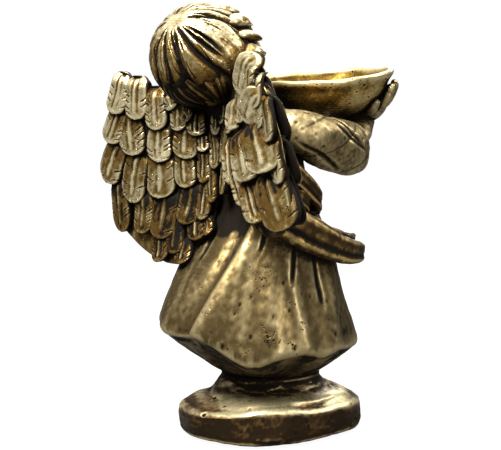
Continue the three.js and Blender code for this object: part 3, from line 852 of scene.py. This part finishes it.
def wingCore(rows, side):
    # the plain body under the feathers: a flattened oval at each height, with painted shade high on its back
    row = smoothRows(rows, 90)
    z, inner, outer, thick = (row[:, k, None] for k in range(4))
    a = turns(120)[None, :]
    t = (inner + outer) / 2 + (outer - inner) / 2 * squared(np.cos(a), 0.7)
    grid = wingPoint(t, z + 0 * t, side, thick / 2 * np.sin(a) - 2.5)
    grid = grid + 0.5 * cloud(grid, 9, 71, 2)[..., None] * np.array([0, 1, 0])
    return shell(grid, 0.12 + 0.9 * step(z, 180, 215) * (np.sin(a) > 0.2) + 0 * t, gain=0.5)


featherLook = dict(thick=4.4, frontThick=3.0, rim=0.4, quill=0.8, channel=1.1, notch=1.2,
                   notches=4, share=0.62, rise=4.0, dip=7.0, frontOff=-8)


def feather(tip, side, face, size, louver, seed, lift=0.0):
    # one feather: a padded strip with round ends, on the wing's back (face 1) or front (face -1). A rim
    # follows its edge, a quill runs down its middle with a channel of random depth on either side, and
    # slanted notches nick the edges; the root dips under the row above and the tip rises, so that the
    # rows lap like tiles. The louver turns it about its length
    look = featherLook
    tipT, tipZ, length, width, lean = tip
    rng = np.random.default_rng(seed)
    lean = math.radians(lean + rng.uniform(-4, 4))
    width = width * rng.uniform(0.95, 1.1)
    u = np.linspace(0, 1, size[0])[:, None]
    u = u + 0.06 * np.sin(2 * np.pi * u) / np.pi
    a = turns(size[1])[None, :]
    rounding = np.clip((u - 0.70) / 0.30, 0, 1)
    rootEnd = np.clip((0.16 - u) / 0.16, 0, 1)
    half = width / 2 * (0.80 + 0.24 * np.sin(np.clip(u / 0.7, 0, 1) * np.pi / 2))
    half = half * np.sqrt(1 - rounding ** 2.4 + 1e-4) * np.sqrt(1 - 0.9 * rootEnd ** 2)
    v = squared(np.cos(a), 0.8)
    over = np.sin(a)
    x = v * half
    inset = np.minimum(half * (1 - np.abs(v)), 1.15 * length * (1 - u))
    run = step(u, 0.05, 0.2) * (1 - step(u, 0.78, 0.90))
    rim = look["rim"] * bump(inset, 2.2, 1.6)
    left, right = rng.uniform(0.0, 1.0, 2) ** 1.5
    channel = np.where(x > 0, right * bump(x, 1.9, 0.9), left * bump(x, -1.9, 0.9))
    channel = step(inset, 3.0, 5.0) * run * channel
    quill = look["quill"] * bump(x, 0, 0.7) * run
    streak = softNoise(np.stack([x, u * length / 8 + 0 * x, seed + 0 * x], -1), 1.5, 87)
    streak = streak * step(inset, 1.0, 3.0)
    notch = 0 * x
    for way in (-1, 1):
        for k in range(look["notches"]):
            at = 0.34 + 0.15 * k + rng.uniform(-0.06, 0.06)
            slant = (u - at) * length + 0.6 * (np.abs(v) - 1) * half
            cut = np.exp(-(slant / 0.6) ** 2) * step(v * way, 0.38, 0.6)
            notch = notch + cut * (rng.random() < look["share"])
    thick = (look["thick"] if face > 0 else look["frontThick"]) * np.abs(over) ** 0.55
    carved = rim + quill - look["channel"] * channel - look["notch"] * notch + 0.22 * streak
    height = np.where(over > 0, thick + carved * np.clip(over * 3, 0, 1), -2.2 * np.abs(over) ** 0.6)
    rise = look["rise"] * u ** 1.3 - look["dip"] * np.clip(1 - u / 0.3, 0, 1) ** 2
    tilt = -x * math.tan(math.radians(louver))
    bend = 2.0 * np.sin(np.pi * u) * rng.uniform(-1, 1)
    t = tipT - math.sin(lean) * length * (1 - u) + (x + bend) * math.cos(lean)
    z = tipZ + math.cos(lean) * length * (1 - u) + (x + bend) * math.sin(lean)
    off = 0 if face > 0 else look["frontOff"]
    grid = wingPoint(t, z, side, face * (height + rise + tilt + lift) + off)
    wobble = 0.6 * cloud(grid, 6, 81, 2) - 0.5 * pits(grid, 5, 0.3, 83)
    grid = grid + wobble[..., None] * np.array([0, face, 0]) * np.clip(over, 0, 1)[..., None]
    sides = np.clip(1 - over / 0.58, 0, 1)
    low = step(258.0 - z, 0, 80)
    lit = rng.uniform(-0.28, 0.12)
    topRow = float(step(tipZ, 270, 284))  # nothing laps over the top row, so its roots stay light
    # painted shade: the root where the row above laps over, the sides where feathers meet, the lower rows
    # (low) and the feathers near the spine (inner) are painted darker
    patinaAndShade = (0.95 - 0.75 * topRow) * (1 - step(u, 0.05, 0.72)) + 1.6 * sides
    patinaAndShade = patinaAndShade + 0.9 * channel + 1.4 * notch - 0.8 * rim - 0.25 * quill
    patinaAndShade = patinaAndShade + (0.3 + 0.3 * low) * streak
    inner = 1 - step(tipT, 18, 62)
    return shell(grid, patinaAndShade + 0.78 * low + 0.3 * inner - 0.36 + lit, gain=0.8, reach=1)


def buildWing(name, side, rows, feathers, turned):
    # a wing's body, the feathers on its back with any turned ones above them, and those on its front
    look = wingLook
    piece(name + "_core", [wingCore(rows, side)], gold, "bronze_paint", name)
    under = -3.0 if turned else 0.0
    back = [feather(f, side, 1, look["backGrid"], 0, 100 + k, under) for k, f in enumerate(feathers)]
    back += [feather(f[:5], side, 1, look["turnedGrid"], f[5], 150 + k, 2.5 - (33 - f[5]) / 4)
             for k, f in enumerate(turned)]
    piece(name + "_feathers", back, gold, "bronze_paint", name)
    front = [feather(f, side, -1, look["frontGrid"], 0, 200 + k) for k, f in enumerate(feathers)]
    piece(name + "_front_feathers", front, gold, "bronze_paint", name)


buildWing("left_wing", 1, leftRows, leftFeathers, [])
buildWing("right_wing", -1, rightRows, rightFeathers, turnedFeathers)


# sleeves and hands
sleevePath = [
    (-36, 20, 282, 12, 14), (-46, 8, 281, 17, 18), (-53, -10, 275, 20, 20), (-54, -32, 268, 20.5, 20.5),
    (-52, -54, 263, 20, 20.5), (-49, -68, 262, 18.5, 20), (-46, -77, 264, 13, 15), (-45, -79, 265, 6, 7)]


sleeveLook = dict(along=150, around=170, fold=1.5, creaseDepth=1.7, creaseWidth=0.11, heavy=2.6)
# creases: angle where they start, how fast they turn along the sleeve, and where they start and end
sleeveCreases = [
    (0.55, 2.2, 0.18, 0.62), (1.5, 2.9, 0.3, 0.85), (2.4, 2.0, 0.45, 0.9), (3.6, 1.6, 0.2, 0.7),
    (4.8, 1.2, 0.3, 0.8), (0.1, 3.2, 0.5, 0.95)]


def mirrored(rows, side):
    # the right side's path, or the same path turned over for the left side
    return [(-side * r[0], *r[1:]) for r in rows]


def sleeveShell(side):
    # a wide limb with slanting folds and creases wound along it, and a heavy lower edge
    look = sleeveLook
    grid, u, t = limb(mirrored(sleevePath, side), look["along"], look["around"])
    turn = t if side < 0 else np.pi - t
    slant = turn + 2.6 * u
    fold = look["fold"] * np.sin(2.0 * slant + 0.5)
    fold = fold + look["fold"] * np.abs(np.sin(1.5 * slant + 4 * u)) ** 0.6 * step(u, 0.1, 0.3)
    crease = np.zeros_like(fold)
    for start, pitch, low, high in sleeveCreases:
        line = start + pitch * (u - low)
        d = (turn - line + np.pi) % (2 * np.pi) - np.pi
        run = step(u, low, low + 0.1) * (1 - step(u, high - 0.1, high))
        crease += np.exp(-(d / look["creaseWidth"]) ** 2) * run
    heavy = look["heavy"] * np.exp(-((turn - 4.6) / 0.5) ** 2) * step(u, 0.2, 0.5)
    shape = (fold + heavy - look["creaseDepth"] * crease) * step(u, 0.02, 0.15) * (1 - step(u, 0.93, 1.0))
    shape = shape + 0.6 * cloud(grid, 12, 91, 2) + 0.2 * cloud(grid, 4, 93, 2) - 0.6 * pits(grid, 6, 0.3, 95)
    return shell(push(grid, shape), 0.34 * crease - 0.2 + 0 * u, gain=0.7, reach=3)


# the hands lie along the bowl's wall, so the bowl's sizes stand before both
bowlLook = dict(centreY=-84.0, baseZ=283.0, tilt=0.10, around=380, along=230, outerRows=70, innerFrom=128,
                spoutAt=238, spoutOut=2.4, spoutUp=3.0, pitDepth=0.85)


def tipped(x, y, z):
    # the bowl leans back a little: a turn about X, then up to its place
    lean, rise = math.sin(bowlLook["tilt"]), math.cos(bowlLook["tilt"])
    return x, y * rise + z * lean + bowlLook["centreY"], z * rise - y * lean + bowlLook["baseZ"]


def onBowl(degrees, h, out):
    # a place just outside the bowl's wall, by direction round the bowl and height in it
    r = np.interp(h, [0, 0.8, 6.5, 17, 30, 42], [6, 20, 36, 50, 60, 64]) + out
    return tipped(r * math.cos(math.radians(degrees)), r * math.sin(math.radians(degrees)), h)


def handShells(side):
    # a cupped hand under and outside the bowl: palm, four fingers close together and a thumb beside
    # them, each a limb along the bowl's wall
    made = []
    mid, spread = (222, 1) if side < 0 else (318, -1)
    palm = [(side * 46, -60, 264, 11, 10), (side * 46, -74, 268, 13, 10),
            (*onBowl(mid - 2 * spread, 3, 10), 16, 9), (*onBowl(mid, 9, 8.5), 18, 8),
            (*onBowl(mid, 14, 7), 16, 6), (*onBowl(mid, 18, 5), 10, 3.5)]
    grid, u, t = limb(palm, 60, 60)
    made.append(shell(push(grid, 0.4 * cloud(grid, 8, 101, 2)), 0.42 + 0 * u + 0 * t))
    for k in range(4):
        at = mid + spread * (k - 1.5) * 8.8
        reach = (0.92, 1.0, 0.97, 0.84)[k]
        heights = [7, 13, 19, 25 * reach, 31 * reach, 35.5 * reach]
        outs = [8.5, 9.2, 8.8, 7.6, 6.0, 4.4]
        widths = [5.6, 5.8, 5.6, 5.2, 4.6, 2.8]
        path = [(*onBowl(at + spread * 0.4 * n, h, o), w, w * 0.85)
                for n, (h, o, w) in enumerate(zip(heights, outs, widths))]
        grid, u, t = limb(path, 56, 30)
        joint = 0.3 * (bump(u, 0.38, 0.06) + bump(u, 0.68, 0.06))
        made.append(shell(push(grid, joint + 0.15 * cloud(grid, 4, 103, 2)), 0.5 + 0 * u + 0 * t))
    thumb = [(*onBowl(mid - spread * 12, 2, 9), 6, 5), (*onBowl(mid - spread * 19, 8, 7), 5.5, 4.6),
             (*onBowl(mid - spread * 23, 14, 5.5), 5, 4.2), (*onBowl(mid - spread * 24, 19, 4.5), 3.2, 2.8)]
    grid, u, t = limb(thumb, 44, 30)
    made.append(shell(push(grid, 0.15 * cloud(grid, 4, 107, 2)), 0.3 + 0 * u + 0 * t))
    return made


for sideName, side in (("left", 1), ("right", -1)):
    piece(sideName + "_sleeve_cloth", [sleeveShell(side)], brass, "robe_paint", sideName + "_sleeve")
    piece(sideName + "_fingers", handShells(side), brass, "bronze_paint", sideName + "_hand")


# bowl
# radius and height: up the outer wall, over the lip and down the inner wall
bowlRings = [
    (0.4, 0), (12, 0.2), (20, 0.9), (29, 3.6), (37, 7.3), (44.5, 12), (51, 17.8), (56.2, 24),
    (59.2, 29.5), (60.6, 32.8), (62.0, 35.2), (63.6, 37.4), (64.9, 39.8), (65.2, 41.8), (64.2, 43.4),
    (62.2, 43.6), (60.2, 42.6), (58.8, 38), (56.6, 31.5), (52.6, 24.8), (47, 19), (40, 13.6), (31, 9),
    (20, 6.4), (10, 5.6), (0.4, 5.4)]


def bowlShell():
    # a turned dish, its radius and height waved by sines, with a rounded lip that rises to a soft spout
    # at the front right; pits and broad noise dent the wall
    look = bowlLook
    row = smoothRows([(r, h, 0) for r, h in bowlRings], look["along"])
    r, h = row[:, 0, None], row[:, 1, None]
    t = turns(look["around"])[None, :]
    high = step(h, 28, 42)
    spout = np.exp(-(turnFrom(t, look["spoutAt"]) / 14) ** 2)
    r = r * (1 + 0.010 * np.sin(3 * t) + 0.007 * np.cos(5 * t + 1)) + look["spoutOut"] * spout * high
    h = h + high * (look["spoutUp"] * spout + 0.6 * np.sin(4 * t + 0.6) + 0.35 * np.sin(9 * t))
    p = np.stack(tipped(r * np.cos(t), r * np.sin(t), h), -1)
    away = step(r, 4, 12)
    holes = pits(p * np.array([1, 1, 1.3]), 4.6, 0.42, 111) * away
    lip = bump(h, 42.5, 3.4)
    amount = 0.4 * cloud(p, 15, 113, 3) * away - look["pitDepth"] * holes * (1 - 0.8 * lip)
    n = gridNormals(p)
    wall = slice(look["outerRows"])  # outward is told by the outer wall alone
    if np.mean(np.sum(n[wall] * (p[wall] - p.mean((0, 1))), -1)) < 0:
        n = -n
    p = p + n * amount[..., None]
    shade = 1.0 * step(np.cos(t - math.radians(50)), 0.0, 0.8) * (1 - lip)  # darker towards the chest
    # painted highlight: the side of the wall away from the chest is painted a little lighter
    shade = shade - 0.12 * step(np.cos(t - math.radians(212)), 0.2, 1.0) * (1 - lip)
    inside = np.arange(look["along"])[:, None] > look["innerFrom"]
    paint = 0.75 * holes * (1 - lip) - 0.35 * lip - 0.16 + np.where(inside, 0.1, shade)
    return shell(p, paint, gain=0.8, reach=2)


piece("bowl_dish", [bowlShell()], amber, "bowl_paint", "bowl")


# sash, bow and tails
sashLook = dict(along=200, around=48, high=7.0, thick=3.6, halfWide=54, halfDeep=40,
                middleY=-2.5, middleZ=220)


def sashShell():
    # a band round the front of the waist: its oval section has ribs along it, and small gathers cross it
    look = sashLook
    t = np.linspace(math.pi * 0.94, math.pi * 2.06, look["along"])[:, None]
    a = turns(look["around"])[None, :]
    up = look["high"] * squared(np.sin(a), 0.8)
    out = look["thick"] * np.cos(a) * (1 + 0.25 * np.cos(3 * np.pi * up / look["high"])) + 1.0
    out = out + 0.5 * np.sin(23 * t + up * 0.3) * (np.cos(a) > 0)
    p = np.stack([(look["halfWide"] + out) * np.cos(t),
                  look["middleY"] + (look["halfDeep"] + out) * np.sin(t),
                  look["middleZ"] + up + 1.2 * np.sin(3 * t)], -1)
    return shell(p, 0.15 + 0 * t + 0 * a)


def ribbonShell(path, around=44, along=120, pinch=0.35):
    # a padded ribbon: on both faces a groove runs along it beside the middle, between raised edges whose
    # paint is rubbed bright in patches
    grid, u, t = limb(path, along, around, 0.85)
    face = np.abs(np.cos(t)) ** 0.5
    groove = np.exp(-((np.sin(t) + 0.25) / 0.16) ** 2)
    edge = np.exp(-((np.abs(np.sin(t)) - 0.62) / 0.2) ** 2)
    amount = face * (1.1 * edge - 2.2 * pinch * groove) + 0.5 * cloud(grid, 9, 121, 2)
    amount = amount - 0.7 * pits(grid, 6, 0.25, 123)
    rubbed = face * edge * step(cloud(grid, 6, 125, 2), 0.0, 0.45)
    paint = 1.1 * pinch * face * groove + 0.18 - 0.42 * rubbed + 0 * u
    ends = step(u, 0, 0.06) * (1 - step(u, 0.95, 1))
    return shell(push(grid, amount * ends), paint, gain=0.6, reach=2)


ribbonPaths = {
    "bow_loop_upper": [
        (-52, 34, 258, 3, 6), (-60, 24, 251, 4, 8), (-66, 11, 240, 4.2, 8.5),
        (-67.5, -2, 228, 4.2, 8.5), (-65, -13, 217, 4, 7.5), (-60, -17, 211, 3.6, 6),
        (-56, -12, 210, 3, 5), (-55, -4, 213, 2.5, 4)],
    "bow_loop_lower": [
        (-50, 24, 251, 3, 5), (-55, 14, 245, 3, 6), (-60, 3, 236, 3.2, 6.5), (-62, -7, 225, 3.2, 6.5),
        (-61, -16, 214, 3, 6), (-58, -22, 205, 2.6, 5)],
    "sash_tail_long": [
        (-50, 50, 216, 4, 8), (-62, 38, 208, 5, 12), (-73, 23, 199, 5.6, 15), (-79, 6, 189, 6.2, 15.5),
        (-81, -13, 180, 6.4, 14), (-79.5, -31, 173, 6.6, 12.0), (-76, -46, 169.6, 6.6, 10.8),
        (-71.5, -57, 168, 6.4, 10.0), (-68.5, -62.5, 167.6, 5.4, 8.2), (-66.8, -65.4, 167.6, 3.8, 5.4),
        (-66, -66.8, 167.8, 1.5, 2.2)],
    "sash_tail_short": [
        (-63, -30, 187, 2.4, 6), (-61, -44, 181, 2.6, 7), (-57, -57, 177, 2.6, 7.5),
        (-51, -69, 175, 2.4, 7.5), (-46, -77, 175, 2.0, 7.5)]}
knotPath = [
    (-60, 12, 229, 3, 4), (-63, 9, 224, 6, 7), (-64, 5, 219, 7, 8), (-63, 2, 213, 6, 7),
    (-60, 0, 208, 3, 4)]

piece("sash_strap", [sashShell()], brass, "robe_paint", "sash_band")
piece("bow_knot_wrap", [ribbonShell(knotPath, 40, 60, 0.2)], walnut, "bronze_paint", "bow_knot")
for name, path in ribbonPaths.items():
    piece(name + "_ribbon", [ribbonShell(path)], walnut, "bronze_paint", name)


# pads, plug and dowels
def turnedShell(x, y, rows, around=64, along=60):
    # rows of radius and height turned round an upright axis
    row = smoothRows([(r, z, 0) for r, z in rows], along)
    t = turns(around)[None, :]
    r, z = row[:, 0, None], row[:, 1, None]
    return shell(np.stack([x + r * np.cos(t), y + r * np.sin(t), z + 0 * t], -1))


def middleOf(node):
    # the middle of a node in plan, in millimetres from the robe's centre line
    low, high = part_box(node)
    return ((low[0] + high[0]) / 2 - axisX) * 1000, ((low[1] + high[1]) / 2 - axisY) * 1000


padRows = [
    (0.5, 0.25), (5, 0.2), (5.6, 0.9), (6.4, 0.2), (8.2, 0.05), (8.9, 0.5), (9, 1.2), (9, 2.4),
    (8.4, 2.9), (4, 2.95), (0.5, 2.95)]
for place in ("front_left", "front_right", "rear_left", "rear_right"):
    node = "foot_pad_" + place
    piece("pad_" + place, [turnedShell(*middleOf(node), padRows)], rubber, "pad_rubber", node)
plugRows = [
    (0.5, 4.4), (8, 4.3), (9.5, 5.4), (11, 4.2), (13.6, 4.2), (14.6, 5), (14.6, 8), (13.9, 9),
    (14.5, 10), (14.0, 18.5), (12.5, 19.6), (0.5, 19.8)]
piece("stopper", [turnedShell(*middleOf("fill_plug"), plugRows, 80)], rubber, "pad_rubber", "fill_plug")


shadeLook = dict(reach=26.0, cell=2.2, rays=16, stops=6, fade=0.6)


def shadeIn():
    # writes how shut in each point is, 0 to 1: rays spread round the normal step through a grid of cells
    # that the surfaces fill, and a near hit counts more than a far one
    reach, cell, rays = shadeLook["reach"], shadeLook["cell"], shadeLook["rays"]
    made = [o for o in bpy.data.objects if o.type == "MESH" and "hollow_and_shading" in o.data.attributes]
    places, normals = [], []
    for o in made:
        co = np.empty(len(o.data.vertices) * 3, np.float32)
        o.data.vertices.foreach_get("co", co)
        no = np.empty(len(o.data.vertices) * 3, np.float32)
        o.data.vertex_normals.foreach_get("vector", no)
        places.append(co.reshape(-1, 3) * 1000)
        normals.append(no.reshape(-1, 3))
    every = np.vstack(places)
    low = every.min(0) - reach - 2 * cell
    size = np.ceil((every.max(0) + reach + 2 * cell - low) / cell).astype(int)
    filled = np.zeros(size, bool)
    filled[tuple(np.floor((every - low) / cell).astype(int).T)] = True
    filled[:, :, :int((0 - low[2]) / cell)] = True  # the floor below
    filled = filled.ravel()
    k = np.arange(rays)
    rise = 1 - 2 * (k + 0.5) / rays
    turn = k * math.pi * (3 - math.sqrt(5))
    flat = np.sqrt(1 - rise ** 2)
    spread = np.stack([flat * np.cos(turn), flat * np.sin(turn), rise], -1)
    near = 1.5 * cell  # past the point's own cell
    far = near * (reach / near) ** np.linspace(0, 1, shadeLook["stops"])
    for o, co, no in zip(made, places, normals):
        shut = np.zeros(len(co), np.float32)
        for way in spread.astype(np.float32):
            d = no * 1.08 + way  # a little over 1, so that no ray lies in the surface
            d /= np.linalg.norm(d, axis=1, keepdims=True)
            hit = np.zeros(len(co), np.float32)
            for n, f in enumerate(far):
                at = ((co + d * f - low) / cell).astype(np.int32)
                met = filled[(at[:, 0] * size[1] + at[:, 1]) * size[2] + at[:, 2]]
                hit = np.maximum(hit, met * (1 - shadeLook["fade"] * n / (len(far) - 1)))
            shut += hit / rays
        closed = o.data.attributes.new("closed", "FLOAT", "POINT")
        closed.data.foreach_set("value", np.clip(shut, 0, 1))
    print("shaded", len(every), "points")


shadeIn()

for name in ("neck_dowel", "left_wing_dowel", "right_wing_dowel", "left_arm_pin", "right_arm_pin",
             "base_dowel_left", "base_dowel_right"):
    dowel = bpy.data.objects[name]
    for slot in dowel.material_slots:
        slot.material = steel


# room, light and camera
roomLook = dict(azimuth=230.0, elevation=6.5, distance=1.30, aimZ=0.1905, aside=0.00684, lens=102.4,
                seenFloor=0.95, litFloor=0.12, skyTop=0.55, skyLow=0.02)


def towards(azimuth, elevation):
    # unit direction from the figure; azimuth 0 is in front of it
    a, e = math.radians(azimuth), math.radians(elevation)
    return Vector((math.sin(a) * math.cos(e), -math.cos(a) * math.cos(e), math.sin(e)))


def stageFloor():
    # a wide pale sheet: near white to the camera, dimmer in reflections so that undersides stay deep
    mesh = bpy.data.meshes.new("floor")
    mesh.from_pydata([(-30, -30, 0), (30, -30, 0), (30, 30, 0), (-30, 30, 0)], [], [(0, 1, 2, 3)])
    floor = bpy.data.objects.new("floor", mesh)
    bpy.context.scene.collection.objects.link(floor)
    made, tree, shader, place = newMaterial("pale_floor")
    tone = noiseNode(tree, place, 3.0, 2.0)
    low = roomLook["litFloor"]
    tree.links.new(mixColour(tree, tone, (low, low, low, 1), (low * 1.05, low * 1.05, low, 1)),
                   shader.inputs["Base Color"])
    shader.inputs["Roughness"].default_value = 0.95
    shader.inputs["Specular IOR Level"].default_value = 0.0
    shader.inputs["Emission Color"].default_value = (1, 1, 1, 1)
    seen = tree.nodes.new("ShaderNodeLightPath").outputs["Is Camera Ray"]
    tree.links.new(maths(tree, "MULTIPLY", seen, roomLook["seenFloor"]), shader.inputs["Emission Strength"])
    mesh.materials.append(made)


def softBox(name, azimuth, elevation, distance, size, power, colour=(1, 1, 1)):
    # a square lamp at a direction from the figure's middle, facing it
    lamp = bpy.data.lights.new(name, "AREA")
    lamp.shape = "RECTANGLE"
    lamp.size, lamp.size_y = size
    lamp.energy = power
    lamp.color = colour
    made = bpy.data.objects.new(name, lamp)
    bpy.context.scene.collection.objects.link(made)
    way = towards(azimuth, elevation)
    made.location = Vector((axisX, axisY, 0.2)) + way * distance
    made.rotation_euler = way.to_track_quat("Z", "Y").to_euler()


def studioWorld():
    # white to the camera; for light, pale overhead and dim below and at the sides
    world = bpy.data.worlds.new("studio")
    bpy.context.scene.world = world
    world.use_nodes = True
    tree = world.node_tree
    tree.nodes.clear()
    place = tree.nodes.new("ShaderNodeTexCoord").outputs["Generated"]
    split = tree.nodes.new("ShaderNodeSeparateXYZ")
    tree.links.new(place, split.inputs[0])
    up = ramp(tree, split.outputs[2], -0.1, 0.9, roomLook["skyLow"], 1.0)
    light = tree.nodes.new("ShaderNodeBackground")
    tree.links.new(up, light.inputs["Color"])
    light.inputs["Strength"].default_value = roomLook["skyTop"]
    seen = tree.nodes.new("ShaderNodeBackground")
    seen.inputs["Color"].default_value = (1, 1, 1, 1)
    seen.inputs["Strength"].default_value = 1.0
    choose = tree.nodes.new("ShaderNodeMixShader")
    tree.links.new(tree.nodes.new("ShaderNodeLightPath").outputs["Is Camera Ray"], choose.inputs[0])
    tree.links.new(light.outputs[0], choose.inputs[1])
    tree.links.new(seen.outputs[0], choose.inputs[2])
    tree.links.new(choose.outputs[0], tree.nodes.new("ShaderNodeOutputWorld").inputs["Surface"])


def placeCamera():
    # on the line to its aim, which stands a little aside so that the figure sits in the frame
    look = roomLook
    lens = bpy.data.cameras.new("camera")
    camera = bpy.data.objects.new("camera", lens)
    bpy.context.scene.collection.objects.link(camera)
    way = towards(look["azimuth"], look["elevation"])
    right = towards(look["azimuth"] + 90, 0)
    aim = Vector((axisX, axisY, look["aimZ"])) - right * look["aside"]
    camera.location = aim + way * look["distance"]
    camera.rotation_euler = way.to_track_quat("Z", "Y").to_euler()
    lens.sensor_width = 36
    lens.lens = look["lens"]
    bpy.context.scene.camera = camera


stageFloor()
studioWorld()
placeCamera()
softBox("key", 196, 52, 1.2, (0.5, 0.4), 33, (1.0, 0.97, 0.92))
softBox("overhead", 220, 84, 1.3, (0.6, 0.6), 16, (1.0, 0.98, 0.95))
softBox("fill", 266, 16, 1.5, (0.4, 0.9), 6, (1.0, 0.98, 0.95))
softBox("rim", 330, 40, 1.4, (0.4, 0.8), 7)
softBox("front", 40, 25, 1.6, (0.8, 0.8), 9)
bpy.context.scene.view_settings.view_transform = "Standard"
print("room, lamps and camera placed")
